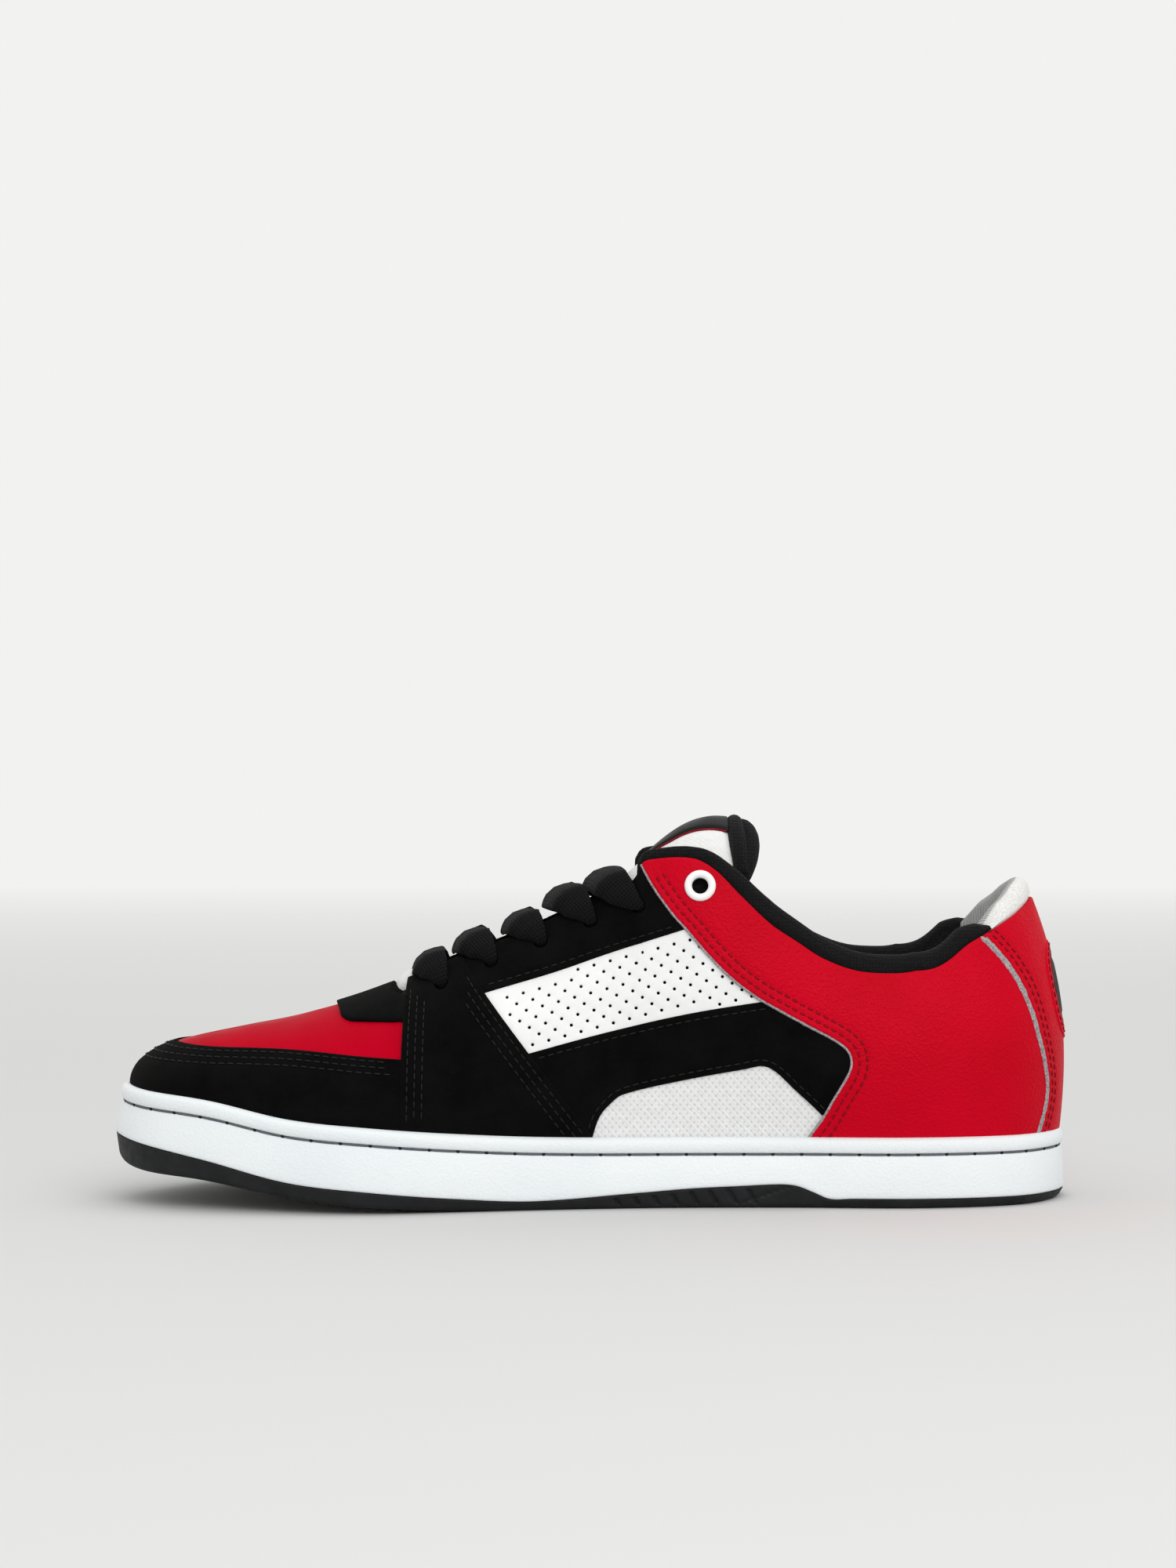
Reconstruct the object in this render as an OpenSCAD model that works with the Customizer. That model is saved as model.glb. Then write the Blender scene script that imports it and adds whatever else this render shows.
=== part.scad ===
// Low-cut leather sneaker on a rubber cupsole, right foot.
// +X runs from toe to heel, -Y is the inner (medial) side, +Z is up, millimetres.
// The origin is on the ground, under the middle of the outsole's length and width.

/* [Shoe] */
// Length of the sole, toe to heel
shoe_length = 300; // [290:1:310]
// Width of the sole at the ball of the foot
ball_width = 106; // [102:1:110]

/* [Upper] */
// Thickness of the outer panels
skin = 1.6; // [1.2:0.1:1.6]
// Thickness of the inner lining
lining = 2.0; // [1.6:0.1:2.2]
// Distance between two lace holes along the throat
lace_pitch = 15.5; // [14.5:0.5:16]
// Width of the flat lace
lace_width = 8; // [6:0.5:8]
// Thickness of the tongue
tongue_thick = 6; // [4:0.5:6.5]

/* [Sole] */
// Thickness of the insole
insole_thick = 5; // [3:0.5:5]

/* [Hidden] */

MEDIAL = -1;
LATERAL = 1;
kx = shoe_length / 300;
ky = ball_width / 106;
gap = 0.15;
TIP = 0;      // rib number at the toe tip
HEEL = 11;    // rib number at the middle of the heel
STATIONS = 44;

// Sole outline by rib number, one row of x, y per side; the first and last rows close the loop.
OUTLINE_MEDIAL = [[-1, -140, 16], [0, -150, -8], [1, -143, -30], [2, -125, -43], [3, -95, -50.5],
    [4, -65, -52.5], [5, -20, -43], [6, 20, -37.5], [7, 60, -36.5], [8, 100, -38], [9, 130, -31],
    [10, 145, -17], [11, 150, 0], [12, 145, 17]];
OUTLINE_LATERAL = [[-1, -143, -30], [0, -150, -8], [1, -140, 16], [2, -122, 37], [3, -95, 50],
    [4, -65, 53.5], [5, -20, 51], [6, 20, 45.5], [7, 60, 41.5], [8, 100, 39], [9, 130, 31],
    [10, 145, 17], [11, 150, 0], [12, 145, -17]];

// Heights by x: ground side of the outsole, top of the outsole, top of the cup's rim.
GROUND = [[-152, 16], [-146, 12], [-119, 9.3], [-93, 4.7], [-68, 1.9], [-42, 0.5], [-20, 0],
    [152, 0]];
OUTSOLE_TOP = [[-152, 22], [-119, 16], [-93, 9.7], [-68, 6.9], [-42, 4.4], [-18, 3], [15, 5],
    [31, 6.2], [46, 6.9], [58, 7.4], [63, 6.9], [68, 5], [73, 3], [80, 3.1], [152, 3.1]];
RIM = [[-152, 37], [-145, 36.2], [-119, 33.8], [-93, 28.5], [-68, 26.1], [-42, 23.9],
    [-18, 22.4], [15, 21.7], [152, 21.7]];

// How far the upper stands in from the edge of the sole, by rib number.
UPPER_INSET = [[-1, 4.3], [0, 4.3], [8, 4], [9.5, 3], [11, 1.8], [12, 1.8]];
// Top line of the upper: ridge over the toes, then edge of the throat and collar.
RIDGE = [[-1, -117, -4, 52.8], [0, -120, -4, 51.8], [1, -117, -4, 52.8], [2, -107, -3.5, 55],
    [3, -90, -3, 58.8], [4, -65, -2.5, 66.8], [5, -20, -2, 86]];
THROAT_HALF = [[-70, 0], [-60, 0], [-57, 6], [-50, 10], [-40, 12], [-20, 14], [0, 18], [10, 22],
    [18, 25], [33, 29.5], [60, 32], [100, 31], [120, 29]];
THROAT_TOP = [[-80, 62], [-65, 66.8], [-58, 69.5], [-50, 73], [-40, 77.3], [-20, 85.5], [-10, 90],
    [0, 94.6], [8, 98.4], [14, 102.6], [18, 106.4], [31, 107.3], [38, 104], [46, 96], [55, 87.4],
    [63, 82], [71, 76.8], [81, 73], [91, 72], [100, 72.8], [115, 79]];
COLLAR = [[7, 60, 32, 83.9], [8, 100, 31, 72.8], [9, 118.5, 27.5, 82], [9.5, 127, 22, 86.5],
    [10, 134, 14, 90.5], [11, 139.5, 0, 94.5], [12, 134, -14, 90.5]];
// Roundness of the walls in degrees and outward swell, by rib number.
ROUNDNESS = [[-1, 88], [3, 88], [4, 80], [5, 62], [6, 38], [7, 30], [12, 30]];
SWELL = [[-1, 0], [3, 0.3], [4, 1], [5, 2], [6, 3], [7, 4], [9, 3.6], [11, 2.6], [12, 2.6]];

// Seams on a side wall, x and z.
STRIPE_LOW = [[0, 22.4], [6, 32], [29, 39.5], [53, 43.7], [60, 38.7], [67, 32], [71.8, 27.8]];
QUARTER_FRONT = [[15.2, 106.9], [19, 99], [28.5, 85.8], [36, 78], [43, 71], [54.4, 63.8],
    [66, 57], [75, 52.2], [79.6, 46], [79, 41], [75, 34], [71.8, 27.8], [67, 22.4]];
BACKSTAY_FRONT = [[140.2, 22.4], [142, 30], [142.4, 37], [141.4, 45], [139.4, 53], [137, 60],
    [133, 69], [127.5, 77], [122, 83.6]];
WINDOW_LOW = [[-19.5, 47.8], [5, 54.2], [30, 59.8], [54.4, 63.8]];
EYESTAY_LOW = [[-33.5, 66.3], [-12, 72.5], [7, 79], [28.5, 85.8]];
TOE_SEAM = [[-1, 50.2], [0, 50.3], [1, 50.1], [2, 49.6], [3, 49.2], [4, 47], [5, 44]];
SADDLE_FRONT_X = -58.5;

// Tongue: centre line height, sag of its sides and half width, by x.
TONGUE = [[-70, 56], [-61, 60.5], [-52, 65], [-42, 69.5], [-32, 73.8], [-22, 78], [-12, 83],
    [-2, 88.8], [6, 94], [14, 102], [21, 110.5], [26, 114.5], [31, 117], [36, 118.5],
    [42, 118.7], [48, 117]];
TONGUE_SAG = [[-70, 3], [-61, 3.5], [-40, 8], [-20, 11], [6, 12.5], [20, 13], [34, 14],
    [48, 15.5]];
TONGUE_HALF = [[-70, 11], [-61, 12], [-40, 15.5], [-20, 17], [6, 17], [20, 17], [34, 20],
    [48, 22]];
TONGUE_HINGE_X = 15;

// ---- curves through keyed points -------------------------------------------------------

function seg(k, u, i = 0) = i >= len(k) - 2 || u < k[i + 1][0] ? i : seg(k, u, i + 1);
function slope(k, i) =
    let (a = k[max(i - 1, 0)], b = k[min(i + 1, len(k) - 1)]) (b - a) / (b[0] - a[0]);
function curve(k, u) =
    let (i = seg(k, u), h = k[i + 1][0] - k[i][0], s = (u - k[i][0]) / h)
    (2 * s ^ 3 - 3 * s ^ 2 + 1) * k[i] + (s ^ 3 - 2 * s ^ 2 + s) * h * slope(k, i)
    + (3 * s ^ 2 - 2 * s ^ 3) * k[i + 1] + (s ^ 3 - s ^ 2) * h * slope(k, i + 1);
function val(k, u) = curve(k, u)[1];
function straight(k, u) =
    let (i = seg(k, u)) k[i][1] + (k[i + 1][1] - k[i][1]) * (u - k[i][0]) / (k[i + 1][0] - k[i][0]);
function along(p, s) =
    let (f = s * (len(p) - 1), i = min(floor(f), len(p) - 2)) p[i] + (p[i + 1] - p[i]) * (f - i);
function unit(v) = v / norm(v);

// ---- sole outline ----------------------------------------------------------------------

function outline0(side, u) = curve(side < 0 ? OUTLINE_MEDIAL : OUTLINE_LATERAL, u);
function outline(side, u) = let (p = outline0(side, u)) [kx * p[1], ky * p[2]];
function outward(side, u) =
    let (d = unit(outline(side, u + 0.02) - outline(side, u - 0.02))) side * [-d.y, d.x];
function ring(side, u, inset) = outline(side, u) - inset * outward(side, u);
function flat_x(side, u) = outline0(side, u)[1];
function ground(x) = max(0, val(GROUND, x));
function outsole_top(x) = val(OUTSOLE_TOP, x);
function rim(x) = val(RIM, x);
function inset(u) = val(UPPER_INSET, u);

// ---- surface of the upper: ribs u from toe (0) to heel (11), t from rim (0) to top (1) --

function foot(side, u) = let (p = ring(side, u, inset(u))) [p.x, p.y, rim(flat_x(side, u))];
function top(side, u) =
    u < 4 ? let (c = curve(RIDGE, u)) [kx * c[1], ky * c[2], c[3]]
    : u > 8 ? let (c = curve(COLLAR, u)) [kx * c[1], side * ky * c[2], c[3]]
    : let (x = flat_x(side, u))
      [kx * x, ky * (side * max(0, val(THROAT_HALF, x)) - 2.5 * max(0, min(1, (40 - x) / 105))),
       val(THROAT_TOP, x)];
function wall(side, u, t) =
    let (f = foot(side, u), p = top(side, u), r = val(ROUNDNESS, u),
         a = (1 - cos(r * t)) / (1 - cos(r)), b = sin(r * t) / sin(r),
         w = val(SWELL, u) * sin(180 * t) * outward(side, u))
    [f.x + (p.x - f.x) * a + w.x, f.y + (p.y - f.y) * a + w.y, f.z + (p.z - f.z) * b];
function wall_normal(side, u, t) =
    let (e = 0.01, du = wall(side, u + e, t) - wall(side, u - e, t),
         dt = wall(side, u, t + e) - wall(side, u, t - e))
    side * unit(cross(dt, du));
function skin_point(side, u, t, depth) = wall(side, u, t) - depth * wall_normal(side, u, t);
// t of a height on a rib, and rib of a place on the wall seen from the side.
function t_of(side, u, z) =
    let (f = foot(side, u), p = top(side, u), r = val(ROUNDNESS, u),
         b = min(1, (z - f.z) / (p.z - f.z)))
    asin(b * sin(r)) / r;
function rib_of(side, x, z, lo = 3, hi = 11, n = 15) =
    n == 0 ? (lo + hi) / 2
    : let (m = (lo + hi) / 2)
      wall(side, m, t_of(side, m, z)).x < kx * x ? rib_of(side, x, z, m, hi, n - 1)
      : rib_of(side, x, z, lo, m, n - 1);
function place(side, q, depth) =
    let (u = rib_of(side, q.x, q.y), t = t_of(side, u, q.y)) skin_point(side, u, t, depth);

// ---- closed meshes -----------------------------------------------------------------------

// Slab between two equal grids of points.
module slab(outer, inner, flip = false) {
    n = len(outer) - 1;
    m = len(outer[0]) - 1;
    count = (n + 1) * (m + 1);
    points = [for (g = [outer, inner], row = g, p = row) p];
    function k(i, j) = i * (m + 1) + j;
    quads = [
        for (i = [0:n - 1], j = [0:m - 1])
            each [[k(i, j), k(i, j + 1), k(i + 1, j + 1), k(i + 1, j)],
                  [count + k(i, j), count + k(i + 1, j), count + k(i + 1, j + 1),
                   count + k(i, j + 1)]],
        for (i = [0:n - 1])
            each [[k(i, 0), k(i + 1, 0), count + k(i + 1, 0), count + k(i, 0)],
                  [k(i + 1, m), k(i, m), count + k(i, m), count + k(i + 1, m)]],
        for (j = [0:m - 1])
            each [[k(0, j + 1), k(0, j), count + k(0, j), count + k(0, j + 1)],
                  [k(n, j), k(n, j + 1), count + k(n, j + 1), count + k(n, j)]]];
    tris = [for (q = quads) each [[q[0], q[1], q[2]], [q[0], q[2], q[3]]]];
    polyhedron(points, flip ? [for (f = tris) [f[2], f[1], f[0]]] : tris, convexity = 6);
}

// Panel on a side wall between four seams, given as x and z.
function edge_limit(side, q) =
    let (x = q.x, top_z = x < 100 ? val(THROAT_TOP, x) : 200) [x, min(q.y, top_z)];
function coons(low, high, front, back, s, v) =
    (1 - v) * along(low, s) + v * along(high, s) + (1 - s) * along(front, v)
    + s * along(back, v) - (1 - s) * (1 - v) * low[0] - s * (1 - v) * low[len(low) - 1]
    - (1 - s) * v * high[0] - s * v * high[len(high) - 1];
function wall_grid(side, low, high, front, back, n, m, depth, margin) =
    [for (i = [0:n]) [for (j = [0:m])
        let (s = margin[0] + (1 - 2 * margin[0]) * i / n,
             v = margin[1] + (1 - 2 * margin[1]) * j / m)
        place(side, coons(low, high, front, back, s, v), depth)]];
module side_panel(side, low, high, front, back, n, m, margin = [0.006, 0.008]) {
    slab(wall_grid(side, low, high, front, back, n, m, 0, margin),
         wall_grid(side, low, high, front, back, n, m, skin, margin), side > 0);
}

// Band that goes round the toe or the heel; reach and t are functions.
module wrap_band(centre, reach, low, high, n, m, d0, d1) {
    function pick(i) = i < 0 ? MEDIAL : LATERAL;
    function rib(i, j) = abs(centre - abs(i) / n * reach(j / m));
    function grid(d) = [for (i = [-n:n]) [for (j = [0:m])
        let (u = rib(i, j), a = low(pick(i), u), b = high(pick(i), u))
        skin_point(pick(i), u, a + (b - a) * j / m, d)]];
    slab(grid(d0), grid(d1), centre == TIP);
}

// Shell over the toes whose two sides meet at the ridge.
module toe_shell(end, low, n, m, d0, d1) {
    function pick(i) = i < 0 ? MEDIAL : LATERAL;
    function grid(d) = [for (i = [-n:n]) [for (j = [0:m])
        let (u = abs(i) / n * end, a = low(pick(i), u), s = j == m ? MEDIAL : pick(i))
        skin_point(s, u, a + (1 - a) * j / m, d)]];
    rows = 2 * n + 1;
    count = rows * (m + 1);
    // Points on the ridge are shared by the two sides.
    function k(i, j) = (j == m ? n + abs(i) : n + i) * (m + 1) + j;
    points = [for (g = [grid(d0), grid(d1)], row = g, p = row) p];
    quads = [
        for (i = [-n:n - 1], j = [0:m - 1])
            each [[k(i, j), k(i, j + 1), k(i + 1, j + 1), k(i + 1, j)],
                  [count + k(i, j), count + k(i + 1, j), count + k(i + 1, j + 1),
                   count + k(i, j + 1)]],
        for (i = [-n:n - 1]) [k(i, 0), k(i + 1, 0), count + k(i + 1, 0), count + k(i, 0)],
        for (j = [0:m - 1])
            each [[k(-n, j + 1), k(-n, j), count + k(-n, j), count + k(-n, j + 1)],
                  [k(n, j), k(n, j + 1), count + k(n, j + 1), count + k(n, j)]]];
    tris = [for (q = quads) each [[q[2], q[1], q[0]], [q[3], q[2], q[0]]]];
    polyhedron(points, tris, convexity = 6);
}

// Solid made of rings that follow the sole outline, from stations first to last.
// Each layer is [inset, height], both functions of side and rib.
module sole_loft(layers, first = 0, last = STATIONS) {
    back = last == STATIONS ? last - 1 : last;
    front = first == 0 ? 1 : first;
    loop = [for (i = [first:last]) [MEDIAL, i], for (i = [back:-1:front]) [LATERAL, i]];
    n = len(loop);
    medial_count = last - first + 1;
    function lateral(i) = i == 0 || i == STATIONS ? i - first : medial_count + back - i;
    points = [for (layer = layers, s = loop)
        let (u = s[1] / STATIONS * HEEL, p = ring(s[0], u, layer[0](u)))
        [p.x, p.y, layer[1](flat_x(s[0], u))]];
    final = (len(layers) - 1) * n;
    caps = [for (i = [first:last - 1])
        let (a = i - first, b = a + 1, c = lateral(i + 1), d = lateral(i))
        each [if (c != b) [a, b, c], if (d != a) [a, c, d],
              if (c != b) [final + c, final + b, final + a],
              if (d != a) [final + d, final + c, final + a]]];
    walls = [for (r = [0:len(layers) - 2], i = [0:n - 1])
        let (a = r * n + i, b = r * n + (i + 1) % n) each [[a, a + n, b + n], [a, b + n, b]]];
    polyhedron(points, [each caps, each walls], convexity = 6);
}

// Roll that follows the top line; the section is an oval.
module top_roll(from, centre_in, lift, wide, high, sides) {
    stops = 26;
    ribs = [for (i = [-stops:stops]) [i < 0 ? MEDIAL : LATERAL, HEEL - abs(i) / stops * (HEEL - from)]];
    function spot(s, u) = let (p = top(s, u), o = outward(s, u), c = centre_in(u))
        [p.x - c * o.x, p.y - c * o.y, p.z + lift(u)];
    points = [for (r = ribs, k = [0:sides - 1])
        let (c = spot(r[0], r[1]), o = outward(r[0], r[1]), a = 360 * k / sides)
        c + [o.x * wide(r[1]) * cos(a), o.y * wide(r[1]) * cos(a), high(r[1]) * sin(a)]];
    n = len(ribs);
    tube(points, n, sides);
}
module tube(points, n, sides) {
    walls = [for (i = [0:n - 2], k = [0:sides - 1])
        let (a = i * sides + k, b = i * sides + (k + 1) % sides)
        each [[a, b, b + sides], [a, b + sides, a + sides]]];
    ends = [for (k = [1:sides - 2]) each [[0, k + 1, k],
        [(n - 1) * sides, (n - 1) * sides + k, (n - 1) * sides + k + 1]]];
    polyhedron(points, [each walls, each ends], convexity = 6);
}

// ---- sole ----------------------------------------------------------------------------------

module outsole() {
    color("#26282a") sole_loft([
        [function(u) 3.4, function(x) ground(x)],
        [function(u) 1.2, function(x) ground(x) + 1.2],
        [function(u) 0.2, function(x) outsole_top(x) - gap]]);
}

cup_inner = function(u) inset(u) + skin + 1.5;
module midsole_cup() {
    color("#e9edf0") sole_loft([
        [function(u) 0.2, function(x) outsole_top(x)],
        [function(u) 0, function(x) outsole_top(x) + 1.5],
        [function(u) 0.6 * (inset(u) - 0.8), function(x) rim(x) - 4.6],
        [function(u) 0.6 * (inset(u) - 0.8), function(x) rim(x) - 1.4],
        [function(u) inset(u) - 0.8, function(x) rim(x)],
        [cup_inner, function(x) rim(x)],
        [cup_inner, function(x) rim(x) - 14]]);
}

module sidewall_stitching() {
    stitches = 96;
    function seam(i) = let (s = i <= stitches ? MEDIAL : LATERAL,
        u = (i <= stitches ? i : 2 * stitches - i) / stitches * HEEL,
        p = ring(s, u, 0.6 * (inset(u) - 0.8) - 0.1), z = rim(flat_x(s, u)) - 3.2)
        [[p.x, p.y, z], outward(s, u)];
    color("#8b9095")
    for (i = [0:2:2 * stitches - 1]) {
        a = seam(i);
        b = seam(i + 1);
        grid = [for (q = [a, b]) [for (z = [-0.3, 0.3]) q[0] + [0, 0, z]]];
        out = [for (q = [a, b]) [for (z = [-0.3, 0.3])
            q[0] + [0.4 * q[1].x, 0.4 * q[1].y, z]]];
        slab(out, grid);
    }
}

module midsole_cushion() {
    color("#d8d8d4") sole_loft([
        [function(u) cup_inner(u) + gap, function(x) rim(x) - 14 + gap],
        [function(u) cup_inner(u) + gap, function(x) rim(x) - 6]]);
}

module lasting_board() {
    color("#cfc8b8") sole_loft([
        [function(u) cup_inner(u) + gap, function(x) rim(x) - 6 + gap],
        [function(u) cup_inner(u) + gap, function(x) rim(x) - 4.6]]);
}

INSOLE_SPLIT = 18;
INSOLE_IN = 6.1;
insole_low = function(x) rim(x) - 4.4;
insole_high = function(x) rim(x) - 4.4 + insole_thick;
module insole_forefoot() {
    color("#2b2b2e") sole_loft([
        [function(u) inset(u) + INSOLE_IN, insole_low],
        [function(u) inset(u) + INSOLE_IN, insole_high]], 0, INSOLE_SPLIT);
}
module insole_heel() {
    color("#2b2b2e") translate([1.6, 0, 0]) sole_loft([
        [function(u) inset(u) + INSOLE_IN + 1.4, insole_low],
        [function(u) inset(u) + INSOLE_IN + 1.4, insole_high]], INSOLE_SPLIT, STATIONS);
}

// ---- inside of the upper -------------------------------------------------------------------

middle = skin + gap;
inner = 3.3;
from_rim = function(s, u) 0.02;
to_top = function(s, u) 0.985;
from_board = function(s, u) let (f = foot(s, u), p = top(s, u)) -4.2 / (p.z - f.z)
    * sin(val(ROUNDNESS, u)) * 57.3 / val(ROUNDNESS, u);

module toe_puff() {
    color("#b9b2a0") wrap_band(TIP, function(v) 2.6, from_rim,
        function(s, u) t_of(s, u, val(TOE_SEAM, u) - 2), 7, 4, middle, middle + 0.9);
}
module heel_counter() {
    color("#b9b2a0") wrap_band(HEEL, function(v) 2.4 - v, from_rim,
        function(s, u) 0.7, 7, 4, middle, middle + 0.9);
}
module vamp_lining() {
    color("#d9d9d9") toe_shell(4.12, from_board, 12, 7, inner, inner + lining);
}
module quarter_lining(side) {
    ribs = [for (i = [0:18]) 4.135 + (8.2 - 4.135) * i / 18];
    function grid(d) = [for (u = ribs) [for (j = [0:7])
        let (a = from_board(side, u)) skin_point(side, u, a + (0.985 - a) * j / 7, d)]];
    color("#26262a") difference() {
        slab(grid(inner), grid(inner + lining), side > 0);
        lace_bores(side);
    }
}
module quarter_lining_medial() { quarter_lining(MEDIAL); }
module quarter_lining_lateral() { quarter_lining(LATERAL); }
module heel_lining() {
    color("#26262a") wrap_band(HEEL, function(v) 2.78, from_board, to_top, 10, 7,
        inner, inner + lining);
}
module collar_foam(side) {
    ribs = [for (i = [0:12]) 6.5 + (8.5 - 6.5) * i / 12];
    function grid(d) = [for (u = ribs) [for (j = [0:2])
        skin_point(side, u, 0.72 + 0.24 * j / 2, d)]];
    color("#e6d9a8") slab(grid(middle), grid(middle + 1.1), side > 0);
}
module collar_foam_medial() { collar_foam(MEDIAL); }
module collar_foam_lateral() { collar_foam(LATERAL); }

COLLAR_END = 9.35;
roll_size = function(u) u < 6.5 ? 1.6 : min(3.5, 1.6 + (u - 6.5) * 3.8);
module collar_binding() {
    color("#17171a") intersection() {
        top_roll(6.25, function(u) roll_size(u) + 0.3, function(u) roll_size(u) * 0.55 + 0.4,
            roll_size, roll_size, 8);
        collar_zone();
    }
}
// Everything in front of the heel tab.
module collar_zone() {
    translate([-100 * kx, -60, 60]) cube([220.5 * kx, 120, 60]);
}
module heel_tab() {
    color("#e8e8e6") top_roll(COLLAR_END, function(u) 3.4, function(u) 4.6,
        function(u) 3, function(u) 3.8, 8);
}

// ---- outer panels ----------------------------------------------------------------------------

module toe_rand() {
    color("#141416") wrap_band(TIP, function(v) 4.13, from_rim,
        function(s, u) t_of(s, u, val(TOE_SEAM, u)) - 0.006, 16, 5, 0, skin);
}
module toe_vamp() {
    color("#c4001f") toe_shell(4.13, function(s, u) t_of(s, u, val(TOE_SEAM, u)) + 0.006,
        14, 5, 0, skin);
}
module throat_tab() {
    n = 6;
    m = 6;
    function spot(i, j, d) =
        let (u = 3.42 + 0.7 * i / n, half = sqrt(i / n) * 0.27 + 0.02, v = 2 * j / m - 1,
             s = v < 0 ? MEDIAL : LATERAL)
        skin_point(v == 0 ? MEDIAL : s, u, 1 - half * abs(v), d);
    function grid(d) = [for (i = [0:n]) [for (j = [0:m]) spot(i, j, d)]];
    color("#141416") slab(grid(-1.2), grid(-gap));
}

module forefoot_saddle(side) {
    x0 = SADDLE_FRONT_X;
    color("#141416") difference() {
        side_panel(side, [[x0, 25.8], [-29, 23.6], [0, 22.3]], [[x0, 68.6], [-50, 72.7], [-41, 76.6]],
            [[x0, 25.8], [x0, 68.6]], [[0, 22.3], [-19.5, 47.8], [-33.5, 66.3], [-41, 76.6]], 8, 8,
            [0.01, 0.012]);
        lace_bores(side);
    }
}
module forefoot_saddle_medial() { forefoot_saddle(MEDIAL); }
module forefoot_saddle_lateral() { forefoot_saddle(LATERAL); }

module eyestay(side) {
    high = [[-41, 76.6], [-22, 84.4], [-4, 92.5], [15.2, 103.6]];
    color("#141416") difference() {
        side_panel(side, EYESTAY_LOW, high, [EYESTAY_LOW[0], high[0]],
            [EYESTAY_LOW[3], [19, 99], high[3]], 10, 3, [0.006, 0.02]);
        lace_bores(side);
    }
}
module eyestay_medial() { eyestay(MEDIAL); }
module eyestay_lateral() { eyestay(LATERAL); }

module quarter_window(side) {
    color("#f2f2f2") side_panel(side, WINDOW_LOW, EYESTAY_LOW, [WINDOW_LOW[0], EYESTAY_LOW[0]],
        [WINDOW_LOW[3], [43, 71.4], [36, 78], EYESTAY_LOW[3]], 9, 4, [0.008, 0.02]);
}
module quarter_window_medial() { quarter_window(MEDIAL); }
module quarter_window_lateral() { quarter_window(LATERAL); }

module side_stripe(side) {
    high = [each WINDOW_LOW, [66, 57], [75, 52.2], [79.4, 46]];
    color("#141416") side_panel(side, STRIPE_LOW, high, [STRIPE_LOW[0], WINDOW_LOW[0]],
        [STRIPE_LOW[6], [75, 34], [78.8, 41], [79.4, 46]], 15, 4, [0.008, 0.012]);
}
module side_stripe_medial() { side_stripe(MEDIAL); }
module side_stripe_lateral() { side_stripe(LATERAL); }

module mesh_vent(side) {
    low = [[2.5, 22.1], [15, 22], [30, 22], [45, 22], [55, 22], [62, 22], [67, 22.1]];
    color("#f4f4f4") side_panel(side, low, STRIPE_LOW, [low[0], STRIPE_LOW[0]],
        [low[6], STRIPE_LOW[6]], 12, 4, [0.012, 0.04]);
}
module mesh_vent_medial() { mesh_vent(MEDIAL); }
module mesh_vent_lateral() { mesh_vent(LATERAL); }

module heel_quarter(side) {
    high = [[15.4, 106.4], [24, 106.6], [31, 107], [38, 103.6], [46, 95.6], [55, 87], [63, 81.6],
        [71, 76.4], [81, 72.6], [91, 71.6], [100, 72.4], [111, 76.2], [122, 82.6]];
    low = [[67.3, 22.1], [80, 22], [92, 22], [104, 22], [116, 22], [128, 22], [140, 22.1]];
    front = [for (i = [12:-1:0]) QUARTER_FRONT[i]];
    front_closed = [low[0], for (i = [1:11]) front[i], high[0]];
    back = [low[6], for (i = [1:7]) BACKSTAY_FRONT[i], high[12]];
    color("#c4001f") difference() {
        side_panel(side, low, high, front_closed, back, 14, 14, [0.006, 0.006]);
        top_eyelet_place(side) cylinder(r = 2.6, h = 14, center = true, $fn = 24);
    }
}
module heel_quarter_medial() { heel_quarter(MEDIAL); }
module heel_quarter_lateral() { heel_quarter(LATERAL); }

BACKSTAY_RIBS = [for (q = BACKSTAY_FRONT) let (u = rib_of(MEDIAL, q.x, q.y))
    [t_of(MEDIAL, u, q.y), u]];
module backstay() {
    n = 7;
    m = 10;
    function grid(d) = [for (i = [-n:n]) [for (j = [0:m])
        let (t = 0.005 + 0.985 * j / m, s = i < 0 ? MEDIAL : LATERAL,
             u = HEEL - abs(i) / n * (HEEL - straight(BACKSTAY_RIBS, t) - 0.025))
        skin_point(s, u, t, d)]];
    color("#c4001f") slab(grid(0), grid(skin));
}
module heel_patch() {
    n = 5;
    m = 6;
    function grid(d) = [for (i = [-n:n]) [for (j = [0:m])
        let (v = 2 * j / m - 1, wide = 0.55 * sqrt(1.05 - v * v), z = 64 + 15 * v,
             s = i < 0 ? MEDIAL : LATERAL, u = HEEL - abs(i) / n * wide)
        skin_point(s, u, t_of(s, u, z), d)]];
    color("#1b1b1d") slab(grid(-1.3), grid(-gap));
}

// ---- holes, eyelets and lace ---------------------------------------------------------------

LACE_ROWS = 5;
function lace_hole(i) = let (x = -47 + i * lace_pitch)
    [x, x < -30 ? 69 + 0.45 * (x + 47) : x < 0 ? 75.8 + 0.4 * (x + 31.5) : 88.2 + 0.29 * (x + 1)];
HOLE_R = 2.7;
module stand_on(p, n) {
    translate(p) rotate([0, acos(n.z), atan2(n.y, n.x)]) children();
}
module on_wall(side, q) {
    u = rib_of(side, q.x, q.y);
    t = t_of(side, u, q.y);
    stand_on(wall(side, u, t), wall_normal(side, u, t)) children();
}
module lace_bores(side) {
    for (i = [0:LACE_ROWS - 1]) on_wall(side, lace_hole(i))
        cylinder(r = HOLE_R, h = 18, center = true, $fn = 24);
    top_eyelet_place(side) cylinder(r = 2.6, h = 14, center = true, $fn = 24);
}

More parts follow.
